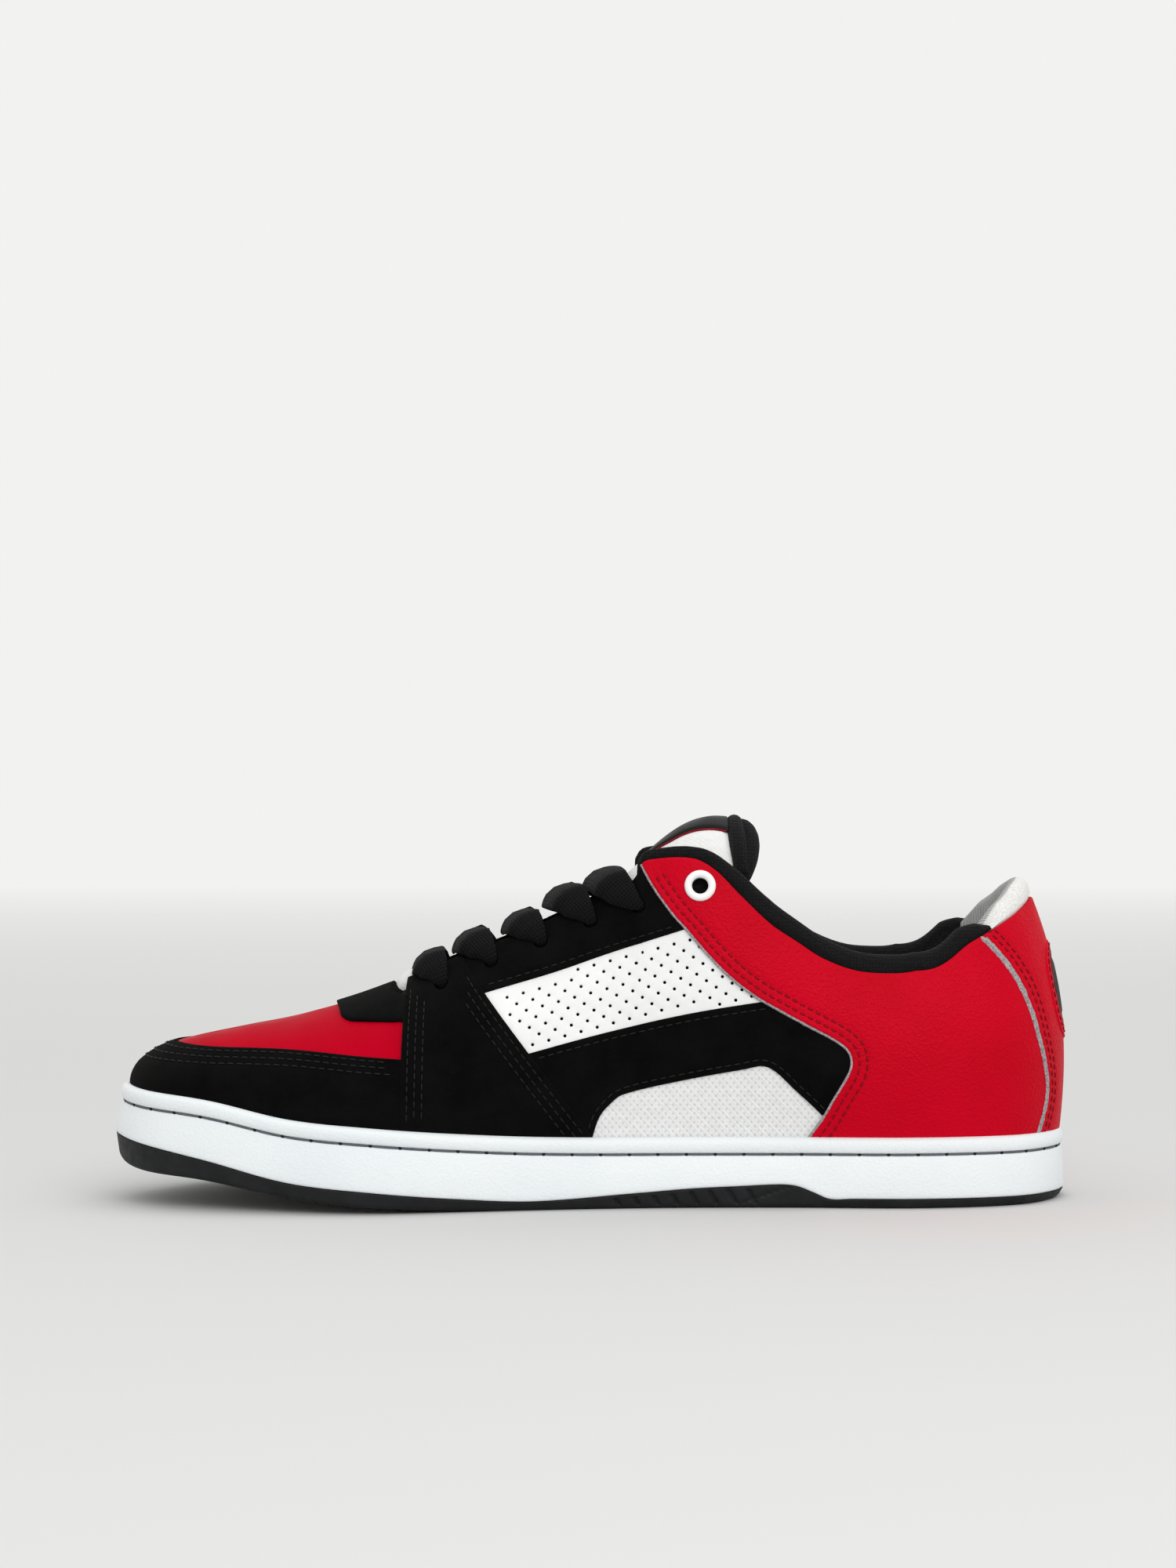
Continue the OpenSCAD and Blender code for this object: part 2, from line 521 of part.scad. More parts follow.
TOP_EYELET = [33.4, 99];
module top_eyelet_place(side) { on_wall(side, TOP_EYELET) children(); }
module top_eyelet(side) {
    color("#f6f6f6") top_eyelet_place(side) translate([0, 0, 0.15])
        rotate_extrude($fn = 48) polygon([[2.5, 0], [4.85, 0], [4.85, 0.5], [4.3, 1.1],
            [3.1, 1.1], [2.5, 0.6]]);
}
module top_eyelet_medial() { top_eyelet(MEDIAL); }
module top_eyelet_lateral() { top_eyelet(LATERAL); }

UNDER = inner + lining + 2.3;
function hole_frame(side, i) =
    let (q = lace_hole(i), u = rib_of(side, q.x, q.y), t = t_of(side, u, q.y))
    [wall(side, u, t), wall_normal(side, u, t)];
// Point across a row: v runs from -1 at the medial hole to 1 at the lateral one.
function bar_point(i, v) =
    let (m = hole_frame(MEDIAL, i), l = hole_frame(LATERAL, i), s = v < 0 ? m : l,
         rise = 12, over = i > 3 ? 5.8 : 2.8, w = 1 - v * v, h = 1 - abs(v) ^ 3,
         p = m[0] + (l[0] - m[0]) * (v + 1) / 2)
    p + [-6 * w, 0, rise * h] + over * s[1] * abs(v);
// Whole run of one row: up through the medial hole, across, down through the lateral one.
DROPS = 4;
function bar_route(i, k, n) =
    let (m = hole_frame(MEDIAL, i), l = hole_frame(LATERAL, i),
         top_out = 1.6, depth = UNDER - 0.9 + top_out)
    k < DROPS ? m[0] + (top_out - depth * (DROPS - k) / DROPS) * m[1]
    : k > n - DROPS ? l[0] + (top_out - depth * (DROPS - (n - k)) / DROPS) * l[1]
    : bar_point(i, 0.93 * (2 * (k - DROPS) / (n - 2 * DROPS) - 1));
module lace_bar(i) {
    n = 12 + 2 * DROPS;
    half = lace_width / 2;
    section = [[-1, 0], [-0.7, 0.6], [0.7, 0.6], [1, 0], [0.7, -0.6], [-0.7, -0.6]];
    points = [for (k = [0:n], c = section)
        let (p = bar_route(i, k, n),
             d = unit(bar_route(i, min(k + 1, n), n) - bar_route(i, max(k - 1, 0), n)),
             e0 = unit([0.87, 0, 0.5]), e = unit(e0 - (e0 * d) * d), up = cross(d, e),
             wide = k <= DROPS || k >= n - DROPS ? 0.42 * half : half)
        p + c.x * wide * e + c.y * up];
    tube(points, n + 1, 6);
}
module under_run(side, from, to, off) {
    hull() for (i = [from, to]) {
        f = hole_frame(side, i);
        stand_on(f[0] - (UNDER + 0.1) * f[1], f[1])
            translate([off, 0, 0]) cube([2.2, 2.2, 1.3], center = true);
    }
}
// Free ends: from the last hole of each half, tucked in along the lining.
function tail(side, k) = let (q = [[20, 86.5], [42, 71]][k]) place(side, q, UNDER + 2.4 + k);
module lace() {
    color("#1c1c1e") {
        for (i = [0:LACE_ROWS - 1]) lace_bar(i);
        under_run(MEDIAL, 0, 1, 0);
        under_run(MEDIAL, 2, 4, 1.3);
        under_run(LATERAL, 0, 2, 1.3);
        under_run(LATERAL, 1, 3, -1.3);
        for (side = [MEDIAL, LATERAL]) hull() for (k = [0, 1])
            translate(tail(side, k)) cube([3, 1.8, 3], center = true);
    }
}
module aglets() {
    color("#111113") for (side = [MEDIAL, LATERAL]) {
        a = tail(side, 1);
        d = unit(place(side, [62, 58], UNDER + 4) - a);
        stand_on(a + 2.8 * d, d) cylinder(r = 1.5, h = 16, $fn = 24);
    }
}

// ---- tongue ---------------------------------------------------------------------------------

function tongue_point(x, v, depth) =
    [kx * x, v * val(TONGUE_HALF, x) - 2 * max(0, min(1, (40 - x) / 100)),
     val(TONGUE, x) - val(TONGUE_SAG, x) * v * v - depth];
module tongue_slab(x0, x1, n, m, v1, d0, d1) {
    function grid(d) = [for (i = [0:n]) [for (j = [0:m])
        tongue_point(x0 + (x1 - x0) * i / n, v1 * (2 * j / m - 1), d)]];
    slab(grid(d0), grid(d1));
}
module tongue_base() {
    color("#ededed") tongue_slab(-61, TONGUE_HINGE_X - 1.2, 14, 8, 1, 0, tongue_thick);
}
module tongue_top() {
    color("#ededed") tongue_slab(TONGUE_HINGE_X + 1.2, 46, 8, 8, 1, 0, tongue_thick);
}
module tongue_binding() {
    sides = 8;
    n = 12;
    points = [for (i = [0:n], k = [0:sides - 1])
        let (v = 2 * i / n - 1, a = 360 * k / sides)
        tongue_point(49.4, v, 2.6) + [3 * cos(a), 0, 3.2 * sin(a)]];
    color("#17171a") tube(points, n + 1, sides);
}
module tongue_label() {
    color("#1b1b1d") tongue_slab(22, 45, 6, 4, 0.5, -1, -gap);
}

outsole();
midsole_cup();
sidewall_stitching();
midsole_cushion();
lasting_board();
insole_forefoot();
insole_heel();
toe_puff();
heel_counter();
vamp_lining();
quarter_lining_medial();
quarter_lining_lateral();
heel_lining();
collar_foam_medial();
collar_foam_lateral();
collar_binding();
heel_tab();
toe_rand();
toe_vamp();
throat_tab();
forefoot_saddle_medial();
forefoot_saddle_lateral();
eyestay_medial();
eyestay_lateral();
quarter_window_medial();
quarter_window_lateral();
side_stripe_medial();
side_stripe_lateral();
mesh_vent_medial();
mesh_vent_lateral();
heel_quarter_medial();
heel_quarter_lateral();
backstay();
heel_patch();
top_eyelet_medial();
top_eyelet_lateral();
tongue_base();
tongue_top();
tongue_binding();
tongue_label();
lace();
aglets();
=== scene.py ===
"""Looks of a low-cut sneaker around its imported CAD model.

Shapes are worked out in millimetres, then made in metres.
"""

import math

import bmesh
import bpy
import numpy as np
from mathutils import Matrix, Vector
from mathutils.geometry import delaunay_2d_cdt


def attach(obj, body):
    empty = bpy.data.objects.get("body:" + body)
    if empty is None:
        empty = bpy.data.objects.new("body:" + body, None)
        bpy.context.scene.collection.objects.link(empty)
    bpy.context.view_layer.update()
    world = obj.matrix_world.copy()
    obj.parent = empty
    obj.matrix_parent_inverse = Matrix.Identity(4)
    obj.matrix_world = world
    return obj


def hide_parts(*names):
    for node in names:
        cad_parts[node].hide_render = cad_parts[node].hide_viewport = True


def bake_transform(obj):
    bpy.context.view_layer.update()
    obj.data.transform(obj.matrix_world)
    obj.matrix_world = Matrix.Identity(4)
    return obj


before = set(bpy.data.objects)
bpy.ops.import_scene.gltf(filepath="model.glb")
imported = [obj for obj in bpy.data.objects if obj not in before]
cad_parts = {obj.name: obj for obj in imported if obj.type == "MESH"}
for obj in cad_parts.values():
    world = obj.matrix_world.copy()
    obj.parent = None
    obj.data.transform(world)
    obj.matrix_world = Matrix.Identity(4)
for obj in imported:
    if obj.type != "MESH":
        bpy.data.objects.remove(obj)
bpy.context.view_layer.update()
MM = 0.001
MEDIAL, LATERAL = -1, 1
HEEL_RIB = 11.0
SHOE = "shoe"
FLAP = "tongue_flap"

# ---- the shoe's form: the same keyed curves as the CAD source ----------------------------

OUTLINE_MEDIAL = [[-1, -140, 16], [0, -150, -8], [1, -143, -30], [2, -125, -43], [3, -95, -50.5],
                  [4, -65, -52.5], [5, -20, -43], [6, 20, -37.5], [7, 60, -36.5], [8, 100, -38],
                  [9, 130, -31], [10, 145, -17], [11, 150, 0], [12, 145, 17]]
OUTLINE_LATERAL = [[-1, -143, -30], [0, -150, -8], [1, -140, 16], [2, -122, 37], [3, -95, 50],
                   [4, -65, 53.5], [5, -20, 51], [6, 20, 45.5], [7, 60, 41.5], [8, 100, 39],
                   [9, 130, 31], [10, 145, 17], [11, 150, 0], [12, 145, -17]]
GROUND = [[-152, 16], [-146, 12], [-119, 9.3], [-93, 4.7], [-68, 1.9], [-42, 0.5], [-20, 0],
          [152, 0]]
OUTSOLE_TOP = [[-152, 22], [-119, 16], [-93, 9.7], [-68, 6.9], [-42, 4.4], [-18, 3], [15, 5],
               [31, 6.2], [46, 6.9], [58, 7.4], [63, 6.9], [68, 5], [73, 3], [80, 3.1],
               [152, 3.1]]
RIM = [[-152, 37], [-145, 36.2], [-119, 33.8], [-93, 28.5], [-68, 26.1], [-42, 23.9],
       [-18, 22.4], [15, 21.7], [152, 21.7]]
UPPER_INSET = [[-1, 4.3], [0, 4.3], [8, 4], [9.5, 3], [11, 1.8], [12, 1.8]]
RIDGE = [[-1, -117, -4, 52.8], [0, -120, -4, 51.8], [1, -117, -4, 52.8], [2, -107, -3.5, 55],
         [3, -90, -3, 58.8], [4, -65, -2.5, 66.8], [5, -20, -2, 86]]
THROAT_HALF = [[-70, 0], [-60, 0], [-57, 6], [-50, 10], [-40, 12], [-20, 14], [0, 18], [10, 22],
               [18, 25], [33, 29.5], [60, 32], [100, 31], [120, 29]]
THROAT_TOP = [[-80, 62], [-65, 66.8], [-58, 69.5], [-50, 73], [-40, 77.3], [-20, 85.5],
              [-10, 90], [0, 94.6], [8, 98.4], [13, 101.4], [15.2, 105.4], [18, 107.0],
              [31, 107.5], [38, 104], [46, 96], [55, 87.4], [63, 82], [71, 76.8], [81, 73],
              [91, 72], [100, 72.8], [115, 79]]
COLLAR = [[7, 60, 32, 83.9], [8, 100, 31, 72.8], [9, 118.5, 27.5, 82], [9.5, 127, 22, 86.5],
          [10, 134, 14, 90.5], [11, 139.5, 0, 94.5], [12, 134, -14, 90.5]]
ROUNDNESS = [[-1, 88], [3, 88], [4, 80], [5, 62], [6, 38], [7, 30], [12, 30]]
SWELL = [[-1, 0], [3, 0.3], [4, 1], [5, 2], [6, 3], [7, 4], [9, 3.6], [11, 2.6], [12, 2.6]]
TOE_SEAM = [[-1, 50.2], [0, 50.3], [1, 50.1], [2, 49.6], [3, 49.2], [4, 47], [5, 44]]
TONGUE = [[-65, 61], [-62.3, 67.2], [-60, 70.2], [-57, 71.7], [-52, 72.4], [-42, 74],
          [-32, 76.6], [-22, 79.7], [-12, 84], [-2, 90.6], [6, 97.6], [14, 104.6], [21, 110.9],
          [26, 114.7], [30, 117], [34, 118.5], [39, 119.3], [45, 118.7], [50, 116.6]]
TONGUE_SAG = [[-70, 3], [-61, 3.5], [-40, 8], [-20, 11], [6, 12.5], [20, 13], [34, 14],
              [48, 15.5]]
TONGUE_HALF = [[-70, 4], [-61, 5], [-52, 8.5], [-40, 12.5], [-20, 17], [6, 17], [20, 17],
               [34, 20], [48, 22]]

# Seams on a side wall, x and height.
SADDLE_BACK = [[-41, 77], [-33.5, 66.3], [-19.5, 47.8], [0, 22.4]]
STRIPE_LOW = [[0, 21], [2.4, 28], [6, 32.3], [10, 35], [29, 39.3], [47, 42.6], [52.6, 43.6],
              [56.5, 41.8], [62, 36.6], [68, 31], [75, 24]]
QUARTER_FRONT = [[14.6, 108.4], [16.5, 103], [19, 99], [25, 90.6], [29.5, 85.6], [36, 78],
                 [43, 71], [51, 65], [58.5, 60.7], [66, 56.6], [75, 51.8], [78.9, 48.6],
                 [80, 45], [79, 41], [75, 34], [71.5, 27.6], [66, 19.5]]
BACKSTAY_FRONT = [[138.6, 19], [141.5, 28], [142.5, 35], [141.6, 43], [139.6, 51], [137, 60],
                  [133, 69], [127.5, 77], [121, 84.4]]
WINDOW_LOW = [[-19.5, 47.8], [5, 54.2], [30, 59.8], [54.4, 63.8], [66, 66]]
EYESTAY_LOW = [[-33.5, 66.3], [-12, 72.5], [7, 79], [28.5, 85.8], [34, 88]]
SADDLE_FRONT_X = -58.5


def keyed(keys, u):
    """Smooth curve through rows of [place, value, ...]."""
    rows = np.asarray(keys, float)
    u = np.asarray(u, float)
    x, v = rows[:, 0], rows[:, 1:]
    i = np.clip(np.searchsorted(x, u, side="right") - 1, 0, len(x) - 2)
    m = np.empty_like(v)
    m[0] = (v[1] - v[0]) / (x[1] - x[0])
    m[-1] = (v[-1] - v[-2]) / (x[-1] - x[-2])
    m[1:-1] = (v[2:] - v[:-2]) / (x[2:] - x[:-2])[:, None]
    h = (x[i + 1] - x[i])[..., None]
    s = ((u - x[i]) / (x[i + 1] - x[i]))[..., None]
    out = ((2 * s**3 - 3 * s**2 + 1) * v[i] + (s**3 - 2 * s**2 + s) * h * m[i]
           + (3 * s**2 - 2 * s**3) * v[i + 1] + (s**3 - s**2) * h * m[i + 1])
    return out[..., 0] if v.shape[1] == 1 else out


def unit(v):
    return v / np.maximum(np.linalg.norm(v, axis=-1, keepdims=True), 1e-12)


def walk(line):
    """Length along a line, from its start to each of its points."""
    return np.concatenate([[0], np.cumsum(np.linalg.norm(np.diff(line, axis=0), axis=1))])


def along_line(line, walked, at):
    """Points of a line at the lengths in at."""
    return np.stack([np.interp(at, walked, values) for values in line.T], -1)


def outline(side, u):
    side = np.asarray(side)
    return np.where(side[..., None] < 0, keyed(OUTLINE_MEDIAL, u), keyed(OUTLINE_LATERAL, u))


def outward(side, u):
    d = unit(outline(side, u + 0.02) - outline(side, u - 0.02))
    return np.asarray(side)[..., None] * np.stack([-d[..., 1], d[..., 0]], -1)


def ring(side, u, inset):
    return outline(side, u) - np.asarray(inset)[..., None] * outward(side, u)


def foot(side, u):
    p = ring(side, u, keyed(UPPER_INSET, u))
    return np.concatenate([p, keyed(RIM, outline(side, u)[..., 0])[..., None]], -1)


def top(side, u):
    toe, heel = keyed(RIDGE, u), keyed(COLLAR, u)
    heel = np.stack([heel[..., 0], side * heel[..., 1], heel[..., 2]], -1)
    x = outline(side, u)[..., 0]
    y = side * np.maximum(0, keyed(THROAT_HALF, x)) - 2.5 * np.clip((40 - x) / 105, 0, 1)
    mid = np.stack([x, y, keyed(THROAT_TOP, x)], -1)
    return np.where((u < 4)[..., None], toe, np.where((u > 8)[..., None], heel, mid))


def wall(side, u, t):
    """Outer surface of the upper: ribs u from toe to heel, t from the rim (0) to the top (1)."""
    side, u, t = np.broadcast_arrays(np.asarray(side, float), np.asarray(u, float),
                                     np.asarray(t, float))
    f, p = foot(side, u), top(side, u)
    r = np.radians(keyed(ROUNDNESS, u))
    a = (1 - np.cos(r * t)) / (1 - np.cos(r))
    b = np.sin(r * t) / np.sin(r)
    w = (keyed(SWELL, u) * np.sin(np.pi * t))[..., None] * outward(side, u)
    xy = f[..., :2] + (p[..., :2] - f[..., :2]) * a[..., None] + w
    return np.concatenate([xy, (f[..., 2] + (p[..., 2] - f[..., 2]) * b)[..., None]], -1)


def wall_normal(side, u, t):
    e = 0.01
    du = wall(side, u + e, t) - wall(side, u - e, t)
    dt = wall(side, u, t + e) - wall(side, u, t - e)
    return np.asarray(side, float)[..., None] * unit(np.cross(dt, du))


def skin(side, u, t, depth):
    side, u, t, depth = np.broadcast_arrays(np.asarray(side, float), u, t, depth)
    return wall(side, u, t) - depth[..., None] * wall_normal(side, u, t)


def t_of(side, u, z):
    f, p = foot(side, u), top(side, u)
    r = np.radians(keyed(ROUNDNESS, u))
    b = np.clip((z - f[..., 2]) / (p[..., 2] - f[..., 2]), -1, 1)
    return np.arcsin(np.clip(b * np.sin(r), -1, 1)) / r


def rib_of(side, x, z):
    """Rib whose wall is at x, at height z."""
    x, z = np.asarray(x, float), np.asarray(z, float)
    side = np.full(x.shape, float(side))
    lo, hi = np.full(x.shape, 3.0), np.full(x.shape, HEEL_RIB)
    for _ in range(26):
        m = (lo + hi) / 2
        low_x = wall(side, m, t_of(side, m, z))[..., 0] < x
        lo, hi = np.where(low_x, m, lo), np.where(low_x, hi, m)
    return (lo + hi) / 2


# Length along the foot line of each side, for flat panel patterns.
RIB_GRID = np.linspace(0, HEEL_RIB, 1600)
ARC = {}
for _side in (MEDIAL, LATERAL):
    _p = foot(np.full(RIB_GRID.shape, float(_side)), RIB_GRID)
    ARC[_side] = walk(_p)


def arc_at(side, u):
    return np.interp(u, RIB_GRID, ARC[side])


def rib_at(side, s):
    return np.interp(s, ARC[side], RIB_GRID)


class SideMap:
    """Flat pattern of one side: length from the toe along the foot line, and height."""

    def __init__(self, side):
        self.side = side
        self.flip = side > 0

    def ribs(self, q):
        return np.full(len(q), float(self.side)), rib_at(self.side, q[:, 0])

    def solid(self, q, depth):
        side, u = self.ribs(q)
        return skin(side, u, t_of(side, u, q[:, 1]), depth)

    def flat(self, seam):
        """Pattern places of a seam given as x and height."""
        seam = np.asarray(seam, float)
        u = rib_of(self.side, seam[:, 0], seam[:, 1])
        return np.stack([arc_at(self.side, u), seam[:, 1]], -1)


class EndMap(SideMap):
    """Flat pattern that goes round the toe or the heel; medial lengths are negative."""

    def __init__(self, heel):
        self.heel = heel
        self.flip = not heel

    def ribs(self, q):
        side = np.where(q[:, 0] < 0, float(MEDIAL), float(LATERAL))
        w = np.abs(q[:, 0])
        med = ARC[MEDIAL][-1] - w if self.heel else w
        lat = ARC[LATERAL][-1] - w if self.heel else w
        return side, np.where(side < 0, rib_at(MEDIAL, med), rib_at(LATERAL, lat))


# ---- mesh making ---------------------------------------------------------------------------

def add_mesh(name, points, faces, material, uv=None):
    mesh = bpy.data.meshes.new(name)
    mesh.from_pydata((np.asarray(points) * MM).tolist(), [], [list(map(int, f)) for f in faces])
    mesh.update()
    if uv is not None:
        layer = mesh.uv_layers.new(name="pattern")
        index = np.zeros(len(mesh.loops), int)
        mesh.loops.foreach_get("vertex_index", index)
        layer.data.foreach_set("uv", (np.asarray(uv)[index] * MM).astype(np.float32).ravel())
    mesh.shade_smooth()
    mesh.materials.append(material)
    obj = bpy.data.objects.new(name, mesh)
    bpy.context.scene.collection.objects.link(obj)
    return obj


def place_piece(obj, body, slot, *nodes):
    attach(obj, body)
    if nodes:
        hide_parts(*nodes)
    return obj


def resample(line, step, closed=False):
    line = np.asarray(line, float)
    if closed:
        line = np.vstack([line, line[:1]])
    d = walk(line)
    n = max(2, int(round(d[-1] / step)))
    out = along_line(line, d, np.linspace(0, d[-1], n + 1))
    return out[:-1] if closed else out


def curved(points, step=1.0):
    """Smooth open line through points."""
    p = np.asarray(points, float)
    d = np.concatenate([[0], np.cumsum(np.linalg.norm(np.diff(p, axis=0), axis=1) ** 0.75)])
    fine = np.linspace(0, d[-1], 400)
    return resample(keyed(np.column_stack([d, p]), fine), step)


def inside(points, loop):
    x, y = points[:, 0][:, None], points[:, 1][:, None]
    a, b = loop, np.roll(loop, -1, axis=0)
    crosses = (a[:, 1] > y) != (b[:, 1] > y)
    dy = np.where(np.abs(b[:, 1] - a[:, 1]) < 1e-12, 1e-12, b[:, 1] - a[:, 1])
    at = a[:, 0] + (y - a[:, 1]) * (b[:, 0] - a[:, 0]) / dy
    return (np.sum(crosses & (x < at), axis=1) % 2) == 1


def line_distance(points, line, closed=False):
    a = line if closed else line[:-1]
    b = np.roll(line, -1, axis=0) if closed else line[1:]
    ab = b - a
    length = np.maximum((ab**2).sum(1), 1e-12)
    out = np.full(len(points), 1e9)
    for start in range(0, len(points), 2000):
        p = points[start:start + 2000]
        t = np.clip(((p[:, None] - a) * ab).sum(2) / length, 0, 1)
        d = np.linalg.norm(p[:, None] - a - t[..., None] * ab, axis=2)
        out[start:start + 2000] = d.min(1)
    return out


def offset_loop(loop, distance):
    """Loop moved inwards, for a loop that runs counter-clockwise."""
    d = unit(np.roll(loop, -1, axis=0) - np.roll(loop, 1, axis=0))
    return loop + distance * np.stack([-d[:, 1], d[:, 0]], -1)


def counter_clockwise(loop):
    x, y = loop[:, 0], loop[:, 1]
    area = np.sum(x * np.roll(y, -1) - np.roll(x, -1) * y)
    return loop if area > 0 else loop[::-1]


def same_in_region(tris, flat, borders, keep):
    """Makes every triangle agree with the largest one of its region between borders."""
    border = {tuple(sorted(e)) for e in borders}
    across = {}
    for i, (a, b, c) in enumerate(tris.tolist()):
        for e in ((a, b), (b, c), (c, a)):
            e = (min(e), max(e))
            if e not in border:
                across.setdefault(e, []).append(i)
    near = [[] for _ in tris]
    for pair in across.values():
        if len(pair) == 2:
            near[pair[0]].append(pair[1])
            near[pair[1]].append(pair[0])
    p = flat[tris]
    ab, ac = p[:, 1] - p[:, 0], p[:, 2] - p[:, 0]
    area = np.abs(ab[:, 0] * ac[:, 1] - ab[:, 1] * ac[:, 0])
    seen, out = np.zeros(len(tris), bool), np.array(keep)
    for first in range(len(tris)):
        if seen[first]:
            continue
        seen[first], group, i = True, [first], 0
        while i < len(group):
            for k in near[group[i]]:
                if not seen[k]:
                    seen[k] = True
                    group.append(k)
            i += 1
        out[group] = keep[group[int(np.argmax(area[group]))]]
    return out


# Rounding of a panel's edge: distance from the edge, and drop of the face there.
EDGE_STEPS = ((0.0, 0.42), (0.22, 0.14), (0.6, 0.0))
HOLE_MARGIN = 3
GROOVE_DEPTH, GROOVE_WIDTH = 0.3, 0.75


def close_to(hole, points):
    """Which points are near enough to a hole to be measured against it."""
    middle = hole.mean(0)
    return np.abs(points - middle).max(1) < HOLE_MARGIN + np.abs(hole - middle).max()


def free_points(rims, grooves, spacing):
    """Points of a pattern inside its edges: beside them, along grooves, and a field between."""
    loop, points = rims[0], []
    for rim in rims:
        shrink = 1.0 if rim is loop else 0.55
        for distance, _ in EDGE_STEPS[1:]:
            moved = offset_loop(rim, distance * shrink)
            points.append(moved[line_distance(moved, rim, True) > distance * shrink * 0.8])
    for groove in grooves:
        fine = resample(groove, 1.1)
        points += [parallel(fine, k) for k in (-0.7, 0.0, 0.7)]
    lo, hi = loop.min(0), loop.max(0)
    rows = np.arange(lo[1], hi[1], spacing * 0.866)
    field = np.array([[x + (i % 2) * spacing / 2, y] for i, y in enumerate(rows)
                      for x in np.arange(lo[0], hi[0], spacing)]).reshape(-1, 2)
    if grooves:
        field = field[np.min([line_distance(field, g) for g in grooves], axis=0) > 1.2]
    free = np.vstack(points + [field])
    free = free[inside(free, loop)]
    far = line_distance(free, loop, True) > 0.18
    for hole in rims[1:]:
        far &= ~inside(free, hole)
        close = close_to(hole, free)
        far[close] &= line_distance(free[close], hole, True) > 0.1
    free = free[far]
    # Points that nearly coincide are thinned on a fine grid.
    _, keep = np.unique(np.round(free / 0.16).astype(int), axis=0, return_index=True)
    return free[np.sort(keep)]


def pattern_triangles(name, flat, rims):
    """Triangles of a pattern between its outer loop and its holes, and the edges of both."""
    edges, start = [], 0
    for rim in rims:
        n = len(rim)
        edges += [(start + i, start + (i + 1) % n) for i in range(n)]
        start += n
    verts, _, tris, _, _, _ = delaunay_2d_cdt([Vector(p) for p in flat.tolist()], edges, [], 0,
                                              1e-6, False)
    if len(verts) != len(flat):
        raise RuntimeError(f"{name}: the pattern's edges cross")
    tris = np.array([t for t in tris if len(t) == 3])
    centre = flat[tris].mean(1)
    keep = inside(centre, rims[0])
    for hole in rims[1:]:
        close = close_to(hole, centre)
        keep[close] &= ~inside(centre[close], hole)
    return tris[same_in_region(tris, flat, edges, keep)], edges


def face_drop(flat, rims, grooves, relief):
    """Depth of a panel's face under its plain surface: rounded edges, grooves and relief."""
    drop = np.interp(line_distance(flat, rims[0], True), *zip(*EDGE_STEPS))
    for hole in rims[1:]:
        close = close_to(hole, flat)
        d = line_distance(flat[close], hole, True)
        drop[close] = np.maximum(drop[close], np.interp(d, [0, 0.12, 0.33], [0.25, 0.08, 0.0]))
    for groove in grooves:
        drop = drop + GROOVE_DEPTH * np.exp(-(line_distance(flat, groove) / GROOVE_WIDTH) ** 2)
    return drop if relief is None else drop + relief(flat)


def panel(name, loop, pattern, depth, thick, material, holes=(), grooves=(), spacing=1.7,
          relief=None):
    """Closed panel cut to a flat loop, laid on the form, with rounded edges and stitch grooves."""
    loop = counter_clockwise(resample(loop, 1.0, closed=True))
    # A hair of waviness keeps straight edges from lying exactly in line.
    k = np.arange(len(loop))
    loop = loop + 0.012 * np.stack([np.sin(1.7 * k), np.cos(2.3 * k)], -1)
    rims = [loop] + [counter_clockwise(np.asarray(h, float))[::-1] for h in holes]
    flat = np.vstack(rims + [free_points(rims, grooves, spacing)])
    tris, edges = pattern_triangles(name, flat, rims)
    outer = pattern.solid(flat, depth + face_drop(flat, rims, grooves, relief))
    inner = pattern.solid(flat, np.full(len(flat), depth + thick))
    n = len(flat)
    faces = [tuple(t) for t in tris] + [tuple(n + t[::-1]) for t in tris]
    faces += [(b, a, n + a, n + b) for a, b in edges]
    if pattern.flip:
        faces = [f[::-1] for f in faces]
    return add_mesh(name, np.vstack([outer, inner]), faces, material, np.vstack([flat, flat]))


def grid_faces(rows, columns, closed_rows=False, closed_columns=False, start=0):
    faces = []
    for i in range(rows - (0 if closed_rows else 1)):
        for j in range(columns - (0 if closed_columns else 1)):
            a, b = i * columns + j, i * columns + (j + 1) % columns
            c, d = ((i + 1) % rows) * columns + (j + 1) % columns, ((i + 1) % rows) * columns + j
            faces.append((start + a, start + b, start + c, start + d))
    return faces


def thick_grid(name, outer, inner, material, uv):
    """Closed solid between two grids of points, rows by columns by 3."""
    rows, columns = outer.shape[:2]
    n = rows * columns
    face = grid_faces(rows, columns)
    faces = [f[::-1] for f in face] + [tuple(n + k for k in f) for f in face]
    for i in range(rows - 1):
        a, b = i * columns, (i + 1) * columns
        faces.append((a, b, n + b, n + a))
        a, b = a + columns - 1, b + columns - 1
        faces.append((b, a, n + a, n + b))
    for j in range(columns - 1):
        faces.append((j + 1, j, n + j, n + j + 1))
        a = (rows - 1) * columns + j
        faces.append((a, a + 1, n + a + 1, n + a))
    points = np.vstack([outer.reshape(-1, 3), inner.reshape(-1, 3)])
    flat = uv.reshape(-1, 2)
    return fix_normals(add_mesh(name, points, faces, material, np.vstack([flat, flat])))


def tube_faces(rows, sides, start=0):
    """Faces of a tube of rings, with flat ends."""
    last = start + (rows - 1) * sides
    return grid_faces(rows, sides, False, True, start) + [
        tuple(range(start, start + sides))[::-1], tuple(range(last, last + sides))]


def swept(name, rings, material, uv=None, closed=False):
    """Tube through rings of points, with flat ends unless it closes on itself."""
    n, sides = rings.shape[:2]
    faces = grid_faces(n, sides, True, True) if closed else tube_faces(n, sides)
    flat = None if uv is None else uv.reshape(-1, 2)
    return fix_normals(add_mesh(name, rings.reshape(-1, 3), faces, material, flat))


